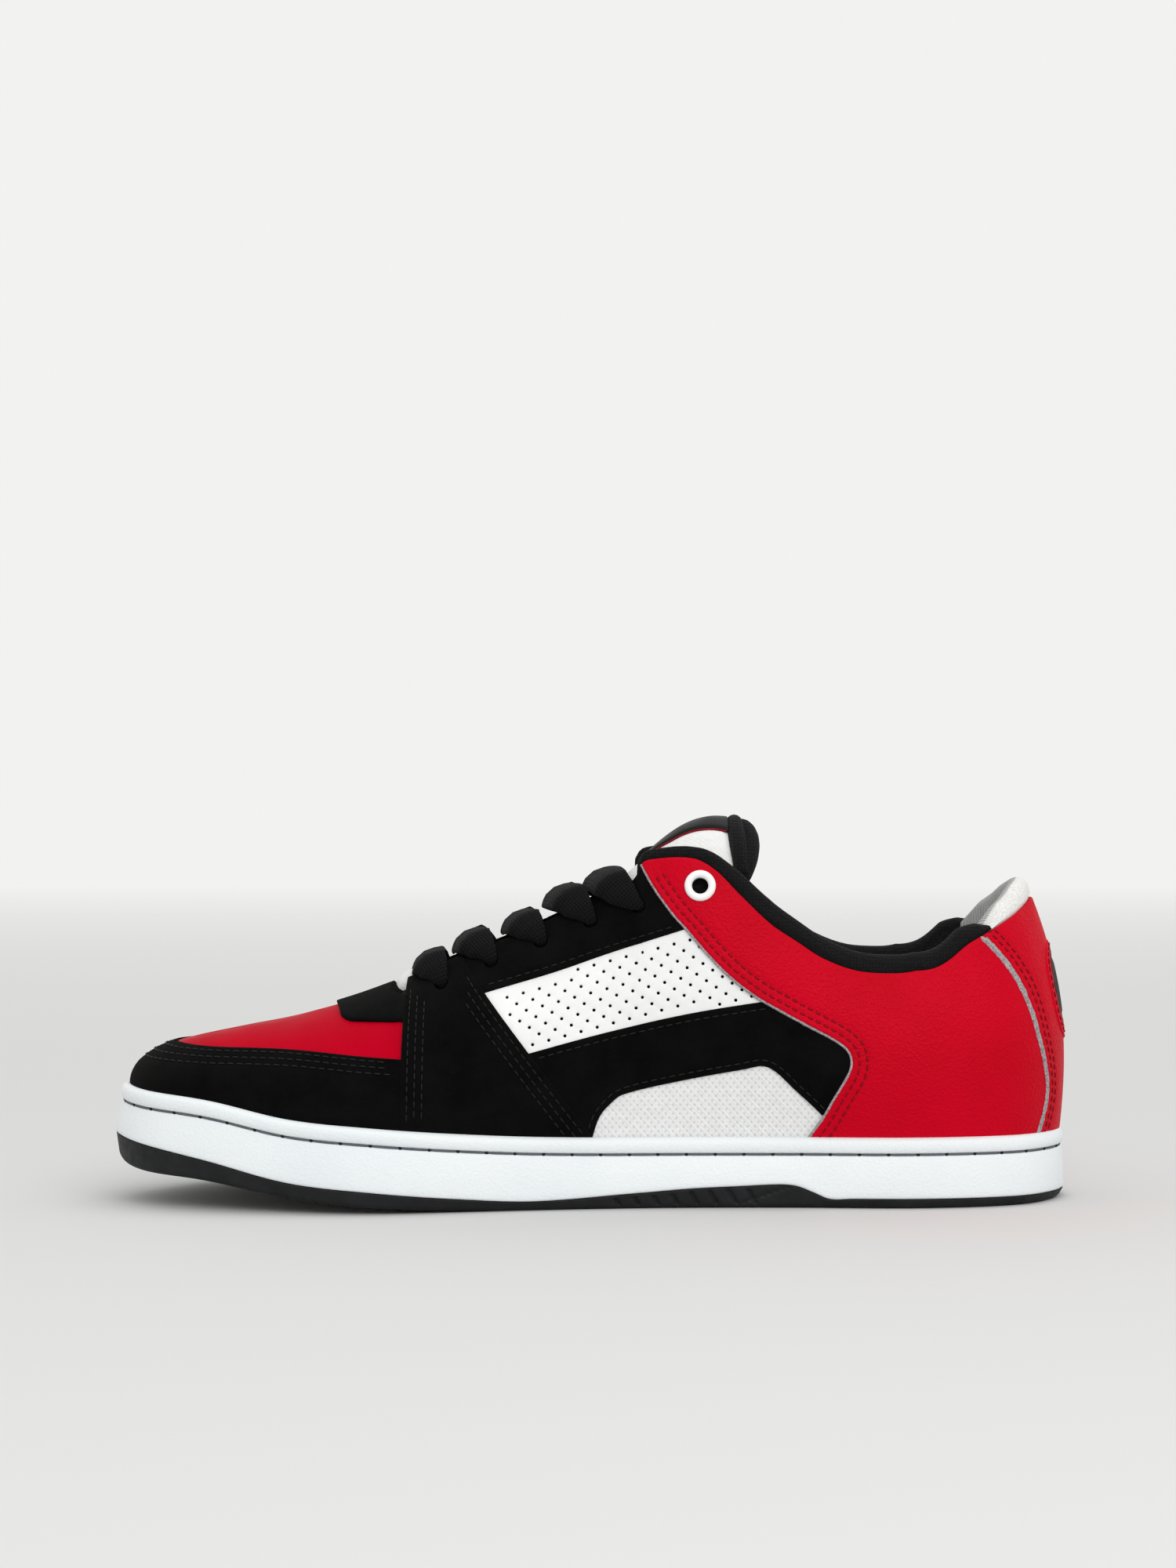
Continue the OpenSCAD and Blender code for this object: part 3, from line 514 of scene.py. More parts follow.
def fix_normals(obj):
    """Turns every face outwards."""
    work = bmesh.new()
    work.from_mesh(obj.data)
    bmesh.ops.recalc_face_normals(work, faces=work.faces)
    work.to_mesh(obj.data)
    work.free()
    return obj


def stitch_points(pattern, line, depth, pitch, length):
    """Ends of the stitches along a seam, and the outward way at each."""
    fine = resample(line, 0.4)
    solid = pattern.solid(fine, np.full(len(fine), depth))
    d = walk(solid)
    starts = np.arange(0.6, d[-1] - length - 0.3, pitch)
    a, b = along_line(solid, d, starts), along_line(solid, d, starts + length)
    mid = along_line(fine, d, starts + length / 2)
    if not len(starts):
        return np.zeros((0, 3)), np.zeros((0, 3)), np.zeros((0, 3))
    up = unit(pattern.solid(mid, np.full(len(mid), depth - 1.0))
              - pattern.solid(mid, np.full(len(mid), depth)))
    return a, b, up


def stitches(name, seams, material, width=0.5, pitch=2.9, length=2.2, lift=0.05):
    """One mesh of all the stitches of a group of seams, each a rounded thread."""
    profile = [(-1.0, 0.25), (-0.86, 0.75), (-0.4, 1.0), (0.4, 1.0), (0.86, 0.75), (1.0, 0.25)]
    sides = 6
    points, faces = [], []
    for pattern, line, depth in seams:
        a, b, up = stitch_points(pattern, line, depth, pitch, length)
        for p, q, n in zip(a, b, up):
            along = unit(q - p)
            across = unit(np.cross(n, along))
            rise = np.cross(along, across)
            base = len(points)
            for s, r in profile:
                c = (p + q) / 2 + (q - p) / 2 * s + n * (lift - 0.3 * (1 - r))
                for k in range(sides):
                    w = 2 * math.pi * k / sides
                    points.append(c + width / 2 * r * (math.cos(w) * across + math.sin(w) * rise))
            faces += tube_faces(len(profile), sides, base)
    return add_mesh(name, np.array(points), faces, material)


# ---- materials -----------------------------------------------------------------------------

class Nodes:
    """Short way to write a node tree."""

    def __init__(self, name):
        self.material = bpy.data.materials.new(name)
        self.material.use_nodes = True
        self.tree = self.material.node_tree
        self.shader = self.tree.nodes["Principled BSDF"]

    def set(self, **values):
        for key, value in values.items():
            self.shader.inputs[key.replace("_", " ")].default_value = value

    def node(self, kind, inputs=(), **settings):
        node = self.tree.nodes.new(kind)
        for key, value in settings.items():
            setattr(node, key, value)
        for key, value in dict(inputs).items():
            socket = node.inputs[key]
            if isinstance(value, bpy.types.NodeSocket):
                self.tree.links.new(value, socket)
            else:
                socket.default_value = value
        return node

    def place(self, flat=False):
        """Position in metres on the object, or on the flat pattern."""
        if flat:
            return self.node("ShaderNodeUVMap", uv_map="pattern").outputs[0]
        return self.node("ShaderNodeTexCoord").outputs["Object"]

    def noise(self, scale, detail=3.0, rough=0.55):
        inputs = {"Vector": self.place(), "Scale": scale, "Detail": detail, "Roughness": rough}
        return self.node("ShaderNodeTexNoise", inputs).outputs["Fac"]

    def cells(self, scale, feature="F1", vector=None, random=1.0):
        inputs = {"Vector": vector or self.place(), "Scale": scale, "Randomness": random}
        return self.node("ShaderNodeTexVoronoi", inputs, feature=feature).outputs["Distance"]

    def bands(self, scale, direction="X", **inputs):
        """Fine parallel ribs on the flat pattern."""
        inputs |= {"Vector": self.place(flat=True), "Scale": scale}
        return self.node("ShaderNodeTexWave", inputs, wave_type="BANDS",
                         bands_direction=direction).outputs["Fac"]

    def math(self, operation, a, b=0.0):
        return self.node("ShaderNodeMath", {0: a, 1: b}, operation=operation).outputs[0]

    def ramp(self, value, low, high, a=0.0, b=1.0):
        return self.node("ShaderNodeMapRange", {"Value": value, "From Min": low, "From Max": high,
                                                "To Min": a, "To Max": b}).outputs[0]

    def mix(self, factor, a, b):
        node = self.node("ShaderNodeMix", data_type="RGBA")
        colour_sockets = [s for s in node.inputs if s.type == "RGBA"]
        for socket, value in ((node.inputs[0], factor), (colour_sockets[0], a),
                              (colour_sockets[1], b)):
            if isinstance(value, bpy.types.NodeSocket):
                self.tree.links.new(value, socket)
            else:
                socket.default_value = (*value, 1.0) if isinstance(value, tuple) else value
        return [s for s in node.outputs if s.type == "RGBA"][0]

    def colour(self, value):
        self.tree.links.new(value, self.shader.inputs["Base Color"])

    def rough(self, value):
        self.tree.links.new(value, self.shader.inputs["Roughness"])

    def bump(self, height, distance=0.0002, strength=1.0):
        node = self.node("ShaderNodeBump", {"Height": height, "Distance": distance,
                                            "Strength": strength})
        previous = self.shader.inputs["Normal"]
        if previous.is_linked:
            self.tree.links.new(previous.links[0].from_socket, node.inputs["Normal"])
        self.tree.links.new(node.outputs[0], previous)


def suede():
    m = Nodes("black_suede")
    m.set(Roughness=1.0, Specular_IOR_Level=0.04, Sheen_Weight=0.012, Sheen_Roughness=0.5)
    nap = m.noise(90, 5, 0.6)
    lint = m.ramp(m.noise(2600, 2), 0.68, 0.84)
    base = m.mix(m.ramp(nap, 0.3, 0.72), (0.0018, 0.0018, 0.0018), (0.0042, 0.0042, 0.0041))
    m.colour(m.mix(m.math("MULTIPLY", lint, 0.3), base, (0.045, 0.044, 0.043)))
    m.bump(m.noise(2300, 4, 0.7), 0.00022, 0.7)
    m.bump(m.noise(260, 3), 0.0003, 0.35)
    return m.material


def red_leather(name, grain):
    m = Nodes(name)
    m.set(Specular_IOR_Level=0.045 if grain else 0.015)
    tone = m.noise(28, 4)
    deep = 1.0 if grain else 0.84
    m.colour(m.mix(m.ramp(tone, 0.3, 0.7), (0.49 * deep, 0.0, 0.010), (0.57 * deep, 0.0, 0.0145)))
    m.rough(m.ramp(m.noise(60, 3), 0.3, 0.7, 0.40, 0.52))
    if grain:
        m.bump(m.cells(1300, "SMOOTH_F1"), 0.0004, 0.7)
        m.bump(m.noise(650, 4, 0.6), 0.0003, 0.6)
        m.bump(m.noise(110, 4, 0.6), 0.001, 0.3)
    else:
        m.bump(m.cells(2600, "SMOOTH_F1"), 0.00008, 0.35)
        m.bump(m.noise(55, 2), 0.0008, 0.12)
    return m.material


def white_leather():
    m = Nodes("white_perforated_leather")
    m.set(Specular_IOR_Level=0.4)
    m.colour(m.mix(m.ramp(m.noise(60, 3), 0.3, 0.7), (0.78, 0.79, 0.79), (0.84, 0.845, 0.845)))
    m.rough(m.ramp(m.noise(90, 3), 0.3, 0.7, 0.42, 0.55))
    m.bump(m.cells(2400, "SMOOTH_F1"), 0.00006, 0.3)
    return m.material


DIMPLES = (2.2, 1.364)


def white_mesh(name, tone=0.8, shaded_hollows=False):
    m = Nodes(name)
    m.set(Roughness=0.85, Specular_IOR_Level=0.2, Sheen_Weight=0.05)
    base = m.mix(m.ramp(m.noise(400, 3), 0.35, 0.7), (tone * 0.93,) * 3,
                 (tone, tone * 1.005, tone * 1.005))
    if shaded_hollows:
        # A square grid turned by 45 degrees and stretched gives the staggered rows of holes; their
        # darker colour is painted shade in the mesh's hollows.
        scale = (math.sqrt(2) / DIMPLES[0] / MM, 1 / math.sqrt(2) / DIMPLES[1] / MM, 1.0)
        grid = m.node("ShaderNodeMapping", {"Vector": m.place(flat=True), "Scale": scale,
                                            "Rotation": (0, 0, math.pi / 4)}).outputs[0]
        hollow_shade = m.ramp(m.cells(1.0, "F1", grid, 0.0), 0.1, 0.3, 0.6, 0.0)
        base = m.mix(hollow_shade, base, (0.5, 0.51, 0.52))
    m.colour(base)
    m.bump(m.bands(420.0, "DIAGONAL", Distortion=1.2, Detail=1.0), 0.00012, 0.5)
    m.bump(m.noise(2600, 3), 0.00008, 0.5)
    return m.material


def knit(name, tone, scale=900, sheen=0.2):
    m = Nodes(name)
    m.set(Roughness=0.95, Specular_IOR_Level=0.15, Sheen_Weight=sheen, Sheen_Roughness=0.5)
    grain = m.cells(scale, "F1", random=0.35)
    m.colour(m.mix(m.ramp(grain, 0.1, 0.6), tuple(1.25 * c for c in tone),
                   tuple(0.55 * c for c in tone)))
    m.bump(m.ramp(grain, 0.0, 0.7, 1.0, 0.0), 0.0003, 0.8)
    m.bump(m.noise(2500, 3), 0.00012, 0.6)
    return m.material


def lace_cloth():
    m = Nodes("lace_weave")
    m.set(Roughness=0.85, Specular_IOR_Level=0.1, Sheen_Weight=0.02)
    grain = m.cells(1050, "F1", m.place(flat=True), 0.15)
    m.colour(m.mix(m.ramp(grain, 0.1, 0.6), (0.0075, 0.0075, 0.0078), (0.0015, 0.0015, 0.0016)))
    m.bump(m.ramp(grain, 0.0, 0.7, 1.0, 0.0), 0.0004, 1.0)
    return m.material


def sole_rubber():
    m = Nodes("sidewall_rubber")
    m.set(Specular_IOR_Level=0.4)
    m.colour(m.mix(m.ramp(m.noise(35, 3), 0.3, 0.7), (0.76, 0.80, 0.825), (0.80, 0.835, 0.855)))
    m.rough(m.ramp(m.noise(240, 3), 0.3, 0.7, 0.42, 0.58))
    m.bump(m.cells(1400, "SMOOTH_F1"), 0.0002, 0.6)
    m.bump(m.noise(1500, 3), 0.0001, 0.5)
    return m.material


def outsole_rubber():
    m = Nodes("outsole_rubber")
    m.set(Specular_IOR_Level=0.2)
    m.colour(m.mix(m.ramp(m.noise(120, 4), 0.35, 0.75), (0.0085, 0.009, 0.0098),
                   (0.0145, 0.0152, 0.0165)))
    m.rough(m.ramp(m.noise(300, 3), 0.3, 0.7, 0.5, 0.7))
    m.bump(m.noise(1200, 4), 0.00012, 0.5)
    return m.material


def thread(name, tone, gloss=0.5):
    m = Nodes(name)
    m.set(Roughness=gloss, Specular_IOR_Level=0.16)
    m.colour(m.mix(m.noise(1800, 2), tuple(0.7 * c for c in tone), tuple(1.3 * c for c in tone)))
    m.bump(m.noise(3000, 2), 0.00006, 0.6)
    return m.material


def raw_edge():
    m = Nodes("raw_edge")
    m.set(Roughness=1.0, Specular_IOR_Level=0.1)
    fuzz = m.noise(1700, 4, 0.7)
    m.colour(m.mix(m.ramp(fuzz, 0.35, 0.65), (0.15, 0.13, 0.14), (0.5, 0.46, 0.47)))
    m.bump(fuzz, 0.0003, 0.8)
    return m.material


def plastic(name, tone, gloss=0.3, shine=0.5):
    m = Nodes(name)
    m.set(Specular_IOR_Level=shine)
    m.colour(m.mix(m.noise(500, 3), tuple(0.95 * c for c in tone), tone))
    m.rough(m.ramp(m.noise(200, 3), 0.3, 0.7, gloss * 0.85, gloss * 1.15))
    m.bump(m.noise(900, 2), 0.00002, 0.4)
    return m.material


def heel_tab_cloth():
    """White fleece outside, fine ribs on the inner face; their grey is painted shade."""
    m = Nodes("heel_tab_cloth")
    m.set(Roughness=0.95, Specular_IOR_Level=0.12, Sheen_Weight=0.2, Sheen_Roughness=0.5)
    split = m.node("ShaderNodeSeparateXYZ", {"Vector": m.place(flat=True)})
    inner = m.ramp(split.outputs[1], 0.0085, 0.0095)
    ribs = m.bands(350.0, Distortion=0.6)
    fuzz = m.noise(1500, 4, 0.65)
    fleece = m.mix(m.ramp(fuzz, 0.35, 0.65), (0.62, 0.61, 0.59), (0.83, 0.825, 0.81))
    # Grey of the inner face: painted shade, over ribs that are the cloth's real twill.
    shaded_ribs = m.mix(ribs, (0.26, 0.26, 0.26), (0.55, 0.55, 0.545))
    m.colour(m.mix(inner, fleece, shaded_ribs))
    m.bump(m.mix(inner, fleece, ribs), 0.0003, 0.9)
    return m.material


def tape():
    m = Nodes("label_tape")
    m.set(Specular_IOR_Level=0.16)
    m.colour(m.mix(m.noise(800, 3), (0.003, 0.003, 0.0034), (0.008, 0.008, 0.0088)))
    m.rough(m.ramp(m.noise(200, 3), 0.3, 0.7, 0.38, 0.5))
    m.bump(m.bands(500.0), 0.00008, 0.5)
    return m.material


SUEDE = suede()
RED_SMOOTH = red_leather("red_smooth_leather", False)
RED_GRAIN = red_leather("red_grain_leather", True)
WHITE_LEATHER = white_leather()
WHITE_MESH = white_mesh("white_mesh", 0.82, True)
TONGUE_MESH = white_mesh("tongue_mesh", 0.8)
BLACK_KNIT = knit("collar_knit", (0.007, 0.007, 0.0072), 1000, 0.03)
BLACK_LINING = knit("black_lining", (0.008, 0.008, 0.0085), 700, 0.03)
WHITE_LINING = knit("white_lining", (0.5, 0.5, 0.5), 900)
LACE = lace_cloth()
SOLE_WHITE = sole_rubber()
OUTSOLE = outsole_rubber()
BLACK_THREAD = thread("black_thread", (0.0085, 0.0085, 0.009), 0.5)
RED_THREAD = thread("red_thread", (0.2, 0.0005, 0.005))
GREY_THREAD = thread("sidewall_thread", (0.11, 0.12, 0.135), 0.7)
# Black bits at the sidewall's stitch holes: painted shade, not thread.
STITCH_HOLE_SHADE = thread("sidewall_hole_shade", (0.008, 0.009, 0.011), 0.7)
RAW_EDGE = raw_edge()
WHITE_PLASTIC = plastic("white_plastic", (0.86, 0.865, 0.86), 0.28)
BLACK_PLASTIC = plastic("aglet_plastic", (0.012, 0.012, 0.013), 0.25)
PATCH = plastic("patch_rubber", (0.012, 0.009, 0.008), 0.55, 0.18)
LABEL = tape()
HEEL_TAB = heel_tab_cloth()
INSOLE = knit("insole_foam", (0.02, 0.02, 0.022), 800)

HEEL_MAP = EndMap(True)
TOE_MAP = EndMap(False)
SIDES = {"medial": SideMap(MEDIAL), "lateral": SideMap(LATERAL)}

# Depth of each panel's face under the form's surface, and its thickness.
DEPTH = {"vent": 1.1, "window": 0.9, "vamp": 0.8, "eyestay": 0.15, "stripe": 0.25, "rand": 0.0,
         "saddle": -0.45, "quarter": -0.55, "backstay": -0.75, "patch": -1.1, "tab": -0.55}


# ---- sole ----------------------------------------------------------------------------------

def stations(arch_step, step):
    """Ribs all round the sole, closer together along the arch."""
    half = []
    for side in (MEDIAL, LATERAL):
        u = [0.0]
        while u[-1] < HEEL_RIB:
            p = outline(np.array([float(side)]), np.array([u[-1]]))[0]
            fine = -10 < p[0] < 80
            q = outline(np.array([float(side)]), np.array([u[-1] + 0.01]))[0]
            u.append(u[-1] + 0.01 * (arch_step if fine else step) / np.linalg.norm(q - p))
        u = np.array(u[:-1])
        u[-1] = HEEL_RIB
        half.append(u)
    n = len(half[0])
    lateral = np.interp(np.linspace(0, 1, n), np.linspace(0, 1, len(half[1])), half[1])
    side = np.concatenate([np.full(n, -1.0), np.full(n - 2, 1.0)])
    return side, np.concatenate([half[0], lateral[-2:0:-1]]), n


def sole_shell(name, side, u, n, rows, material):
    """Closed loft of rings given as (inset, height); both ends are capped across the sole."""
    rings, flats = [], []
    run = walk(outline(side, u))
    for inset, z in rows:
        inset = np.broadcast_to(inset, u.shape)
        z = np.broadcast_to(z, u.shape)
        rings.append(np.concatenate([ring(side, u, inset), z[:, None]], -1))
        flats.append(np.stack([run, z], -1))
    rings, flats = np.array(rings), np.array(flats)
    count = len(u)
    faces = [f[::-1] for f in grid_faces(len(rows), count, False, True)]
    last = (len(rows) - 1) * count
    for i in range(n - 1):
        a, b = i, i + 1
        d, c = (0 if i == 0 else count - i), (n - 1 if i + 1 == n - 1 else count - i - 1)
        quad = [a]
        for k in (b, c, d):
            if k not in quad:
                quad.append(k)
        faces.append(tuple(quad))
        faces.append(tuple(last + k for k in quad[::-1]))
    return fix_normals(add_mesh(name, rings.reshape(-1, 3), faces, material, flats.reshape(-1, 2)))


def arch_cut(side, u, z):
    """Depth of the slanted grip ribs and the sloping line in the arch of the outsole."""
    x = outline(side, u)[:, 0]
    rib = np.zeros(len(u))
    for k in range(8):
        at = 7.5 + 6 * k - (z - 3) * 0.55
        rib = np.maximum(rib, np.exp(-((x - at) / 0.75) ** 4))
    rib *= (z > 1.0) & (z < keyed(OUTSOLE_TOP, x) - 1.0)
    slope = np.exp(-((x - (43 + (z - 0.5) * 2.7)) / 0.8) ** 4) * (x > 43) * (x < 62)
    return 0.9 * np.maximum(rib, slope)


def outsole():
    side, u, n = stations(0.5, 1.6)
    x = outline(side, u)[:, 0]
    low = np.maximum(0, keyed(GROUND, x))
    high = keyed(OUTSOLE_TOP, x)
    rows = [(5.0, low + 0.9), (4.6, low + 0.1), (3.4, low), (2.1, low + 0.25), (1.3, low + 0.9)]
    for k in range(9):
        z = low + 1.3 + (high - low - 1.75) * k / 8
        rows.append((1.05 - 0.8 * k / 8 + arch_cut(side, u, z), z))
    rows += [(0.35, high - 0.2), (1.2, high - 0.1)]
    return sole_shell("outsole_shell", side, u, n, rows, OUTSOLE)


def tread():
    """Blocks under the sole, cut by grooves, on the flat middle of the outsole."""
    points, faces = [], []
    step, block, margin = 9.0, 7.0, 11.0
    for i in range(-17, 17):
        for j in range(-7, 8):
            cx, cy = i * step + (j % 2) * step / 2, j * step * 0.8
            if not outline_holds(cx, cy, margin):
                continue
            faces += tube_faces(3, 6, len(points))
            for lift, shrink in ((0.95, 1.0), (0.22, 1.0), (0.02, 0.86)):
                for k in range(6):
                    a = math.pi / 3 * k
                    px = cx + block / 2 * shrink * math.cos(a)
                    py = cy + block / 2 * shrink * math.sin(a)
                    points.append((px, py, max(0.0, float(keyed(GROUND, px))) + lift))
    points = np.array(points)
    return fix_normals(add_mesh("outsole_tread", points, faces, OUTSOLE, points[:, :2]))


LOOP_SIDE = np.concatenate([np.full(200, -1.0), np.full(198, 1.0)])
LOOP_RIB = np.concatenate([np.linspace(0, HEEL_RIB, 200), np.linspace(HEEL_RIB, 0, 200)[1:-1]])


def outline_holds(x, y, margin):
    loop = ring(LOOP_SIDE, LOOP_RIB, np.full(398, margin))
    return bool(inside(np.array([[x, y]]), loop)[0])


SEAM_DROP = 5.2


def cup_rim_inset(u):
    return keyed(UPPER_INSET, u) - 0.8


def cup():
    side, u, n = stations(1.2, 1.4)
    x = outline(side, u)[:, 0]
    low, rim = keyed(OUTSOLE_TOP, x), keyed(RIM, x)
    g = cup_rim_inset(u)
    seam = rim - SEAM_DROP
    lean = 0.6 * g
    rows = [(3.0, low), (0.5, low), (0.15, low + 0.25), (0.02, low + 0.8)]
    for k in range(1, 9):
        f = k / 8
        rows.append((lean * f - 0.25 * math.sin(math.pi * f),
                     low + 0.8 + (seam - 1.0 - low - 0.8) * f))
    rows += [(lean + 0.12, seam - 0.6), (lean + 0.75, seam - 0.3), (lean + 1.0, seam),
             (lean + 0.75, seam + 0.3), (lean + 0.05, seam + 0.55), (lean - 0.25, seam + 1.0),
             (lean - 0.4, seam + 1.9), (lean - 0.42, seam + 2.8), (lean - 0.25, seam + 3.7),
             (lean + 0.1, seam + 4.5), (g - 0.35, seam + 5.0), (g + 0.2, seam + SEAM_DROP),
             (g + 1.4, rim - 0.15), (g + 2.4, rim - 0.9), (g + 3.6, rim - 2.5),
             (g + 3.8, rim - 9.0)]
    return sole_shell("cup_sidewall", side, u, n, rows, SOLE_WHITE)


def groove_beads(name, starts, length, thick, material):
    """Pieces laid in the groove round the cup, each dipping into it at both ends: threads, and the
    dark painted shade at the stitch holes.
    """
    points, faces = [], []
    for s, first in starts:
        at = np.linspace(first, first + length, 7)
        u = rib_at(s, at)
        one = np.full(len(u), float(s))
        inset = 0.6 * cup_rim_inset(u) + 0.62
        dip = 0.3 * np.abs(np.linspace(-1, 1, 7)) ** 6
        centre = np.concatenate([ring(one, u, inset + dip),
                                 (keyed(RIM, outline(one, u)[:, 0]) - SEAM_DROP)[:, None]], -1)
        base = len(points)
        for c, w in zip(centre, outward(one, u)):
            for k in range(6):
                a = 2 * math.pi * k / 6
                points.append(c + thick * np.array([w[0] * math.cos(a), w[1] * math.cos(a),
                                                    math.sin(a)]))
        faces += tube_faces(7, 6, base)
    return fix_normals(add_mesh(name, np.array(points), faces, material))


def sidewall_thread():
    pitch = 8.9
    starts = [(s, f) for s in (MEDIAL, LATERAL) for f in np.arange(1.0, ARC[s][-1] - 9, pitch)]
    # Dark ticks across each stitch hole, where the thread dips in: painted shade.
    ticks = [(s, f - 0.75) for s, f in starts]
    place_piece(groove_beads("sidewall_threads", starts, 8.3, 0.42, GREY_THREAD), SHOE,
                "sidewall_thread", "sidewall_stitching")
    place_piece(groove_beads("sidewall_ticks", ticks, 0.95, 0.5, STITCH_HOLE_SHADE), SHOE,
                "sidewall_thread")


def make_sole():
    place_piece(outsole(), SHOE, "outsole_rubber", "outsole")
    place_piece(tread(), SHOE, "outsole_rubber")
    place_piece(cup(), SHOE, "sidewall_rubber", "midsole_cup")
    sidewall_thread()


# ---- upper ---------------------------------------------------------------------------------

def seam_side(pattern, points, step=1.0):
    return curved(pattern.flat(points), step)


def top_line(pattern, x0, x1, n=40):
    """The throat or collar edge between two x, in the flat pattern."""
    ribs = np.linspace(4.02, HEEL_RIB, 800)
    xs = top(np.full(800, float(pattern.side)), ribs)[:, 0]
    u = np.linspace(np.interp(x0, xs, ribs), np.interp(x1, xs, ribs), n)
    side = np.full(n, float(pattern.side))
    return np.stack([arc_at(pattern.side, u), top(side, u)[:, 2]], -1)


def loop_of(*lines):
    return np.vstack([l[:-1] for l in lines])


def parallel(line, distance):
    d = np.gradient(line, axis=0)
    d = unit(np.stack([-d[:, 1], d[:, 0]], -1))
    return line + distance * d


def shortened(line, first, last):
    d = walk(line)
    return along_line(line, d, np.linspace(first, d[-1] - last, max(6, int(d[-1]))))


def sewn(pattern, seams, part, sunk=0.15):
    """Seams, each with its pattern and the depth of its thread."""
    return [(pattern, seam, DEPTH[part] + sunk) for seam in seams]


def circle(centre, radius, n=20):
    a = np.linspace(0, 2 * math.pi, n, endpoint=False)
    return np.stack([centre[0] + radius * np.cos(a), centre[1] + radius * np.sin(a)], -1)


LACE_HOLES = [(-47, 69), (-31.7, 75.9), (-16.2, 82), (-0.7, 88.2), (14, 92.8)]
LACE_RISE = [6.6, 6.2, 6.2, 8.4, 9.3]
LACE_LEAN = [-5.0, -7.0, -6.8, -8.6, -9.8]
HOLE_RADIUS = 2.4
TOP_EYELET = (33.4, 99.0)


def make_window(tag, pattern):
    low = seam_side(pattern, [[-22, 44.5], [5, 51], [30, 56.5], [56, 61], [60, 62]])
    back = seam_side(pattern, [[60, 62], [46, 74], [38, 84], [33, 91]])
    high = seam_side(pattern, [[33, 91], [7, 83], [-12, 76.5], [-36, 70]])
    front = seam_side(pattern, [[-36, 70], [-30, 57], [-22, 44.5]])
    loop = loop_of(low, back, high, front)
    origin = np.array([-18.2, 50.6])
    step_a, step_b = np.array([4.95, 1.28]), np.array([1.95, 3.28])
    holes = np.array([origin + i * step_a + j * step_b
                      for i in range(-10, 22) for j in range(-6, 14)])
    z_low = np.interp(holes[:, 0], *np.array(WINDOW_LOW).T) + 1.3
    z_high = np.interp(holes[:, 0], *np.array(EYESTAY_LOW).T) - 1.2
    back_x = np.interp(holes[:, 1], *np.array(QUARTER_FRONT[::-1])[7:].T) - 2.0
    front_x = np.interp(holes[:, 1], *np.array(SADDLE_BACK[::-1]).T[::-1]) + 2.2
    good = ((holes[:, 1] > z_low) & (holes[:, 1] < z_high) & (holes[:, 0] < back_x)
            & (holes[:, 0] > front_x))
    places = pattern.flat(holes[good])
    places = places[inside(places, loop) & (line_distance(places, loop, True) > 1.4)]
    rounds = [circle(p, 0.5, 10) for p in places]
    obj = panel(f"quarter_window_{tag}_leather", loop, pattern, DEPTH["window"], 1.0,
                WHITE_LEATHER, rounds, spacing=2.4)
    place_piece(obj, SHOE, "white_perforated_leather", f"quarter_window_{tag}")


def dimples(flat):
    """Small hollows of the knitted mesh, in staggered rows."""
    wide, high = DIMPLES
    row = np.round(flat[:, 1] / high)
    x = flat[:, 0] / wide - 0.5 * (row % 2)
    dx, dy = x - np.round(x), flat[:, 1] / high - row
    return 0.45 * np.exp(-((dx * wide / 0.55) ** 2 + (dy * high / 0.36) ** 2))


def make_vent(tag, pattern):
    low = seam_side(pattern, [[-3, 19.5], [30, 19.2], [74, 19.4]])
    back = seam_side(pattern, [[74, 19.4], [73, 24], [70, 33]])
    high = seam_side(pattern, [[70, 33], [63, 40], [54, 46.5], [29, 42.3], [8, 37.5], [-3, 28]])
    front = seam_side(pattern, [[-3, 28], [-3, 19.5]])
    obj = panel(f"mesh_vent_{tag}_knit", loop_of(low, back, high, front), pattern, DEPTH["vent"],
                1.0, WHITE_MESH, spacing=0.62, relief=dimples)
    place_piece(obj, SHOE, "white_mesh", f"mesh_vent_{tag}")


def make_stripe(tag, pattern):
    low = seam_side(pattern, STRIPE_LOW)
    back = seam_side(pattern, [[75, 24], [80, 33], [84, 42], [83, 50], [76, 57], [66, 62]])
    high = seam_side(pattern, [[66, 62], [60, 64.2], [54.4, 63.8], [30, 59.8], [5, 54.2],
                               [-19.5, 47.8], [-24, 46.5]])
    front = seam_side(pattern, [[-24, 46.5], [-12, 33], [-4, 21]])
    seams = [shortened(parallel(seam_side(pattern, WINDOW_LOW[:4]), -2.2), 2, 1),
             shortened(parallel(seam_side(pattern, STRIPE_LOW), 2.0), 2, 4)]
    obj = panel(f"side_stripe_{tag}_suede", loop_of(low, back, high, front,
                                                    seam_side(pattern, [[-4, 21], [0, 21]])),
                pattern, DEPTH["stripe"], 1.1, SUEDE, grooves=seams)
    place_piece(obj, SHOE, "black_suede", f"side_stripe_{tag}")
    return sewn(pattern, seams, "stripe")


def make_eyestay(tag, pattern):
    low = seam_side(pattern, [[-37, 65.2], [-33.5, 66.3], [-12, 72.5], [7, 79], [28.5, 85.8],
                              [31, 87]])
    back = seam_side(pattern, [[31, 87], [24, 97], [19, 103]])
    high = top_line(pattern, 17, -43)
    front = seam_side(pattern, [[-43, 74], [-37, 65.2]])
    holes = [circle(pattern.flat([h])[0], HOLE_RADIUS, 22) for h in LACE_HOLES[1:]]
    seams = [shortened(parallel(low, 1.8), 5, 5)]
    obj = panel(f"eyestay_{tag}_suede", loop_of(low, back, high, front), pattern,
                DEPTH["eyestay"], 1.3, SUEDE, holes, seams)
    place_piece(obj, SHOE, "black_suede", f"eyestay_{tag}")
    return sewn(pattern, seams, "eyestay")


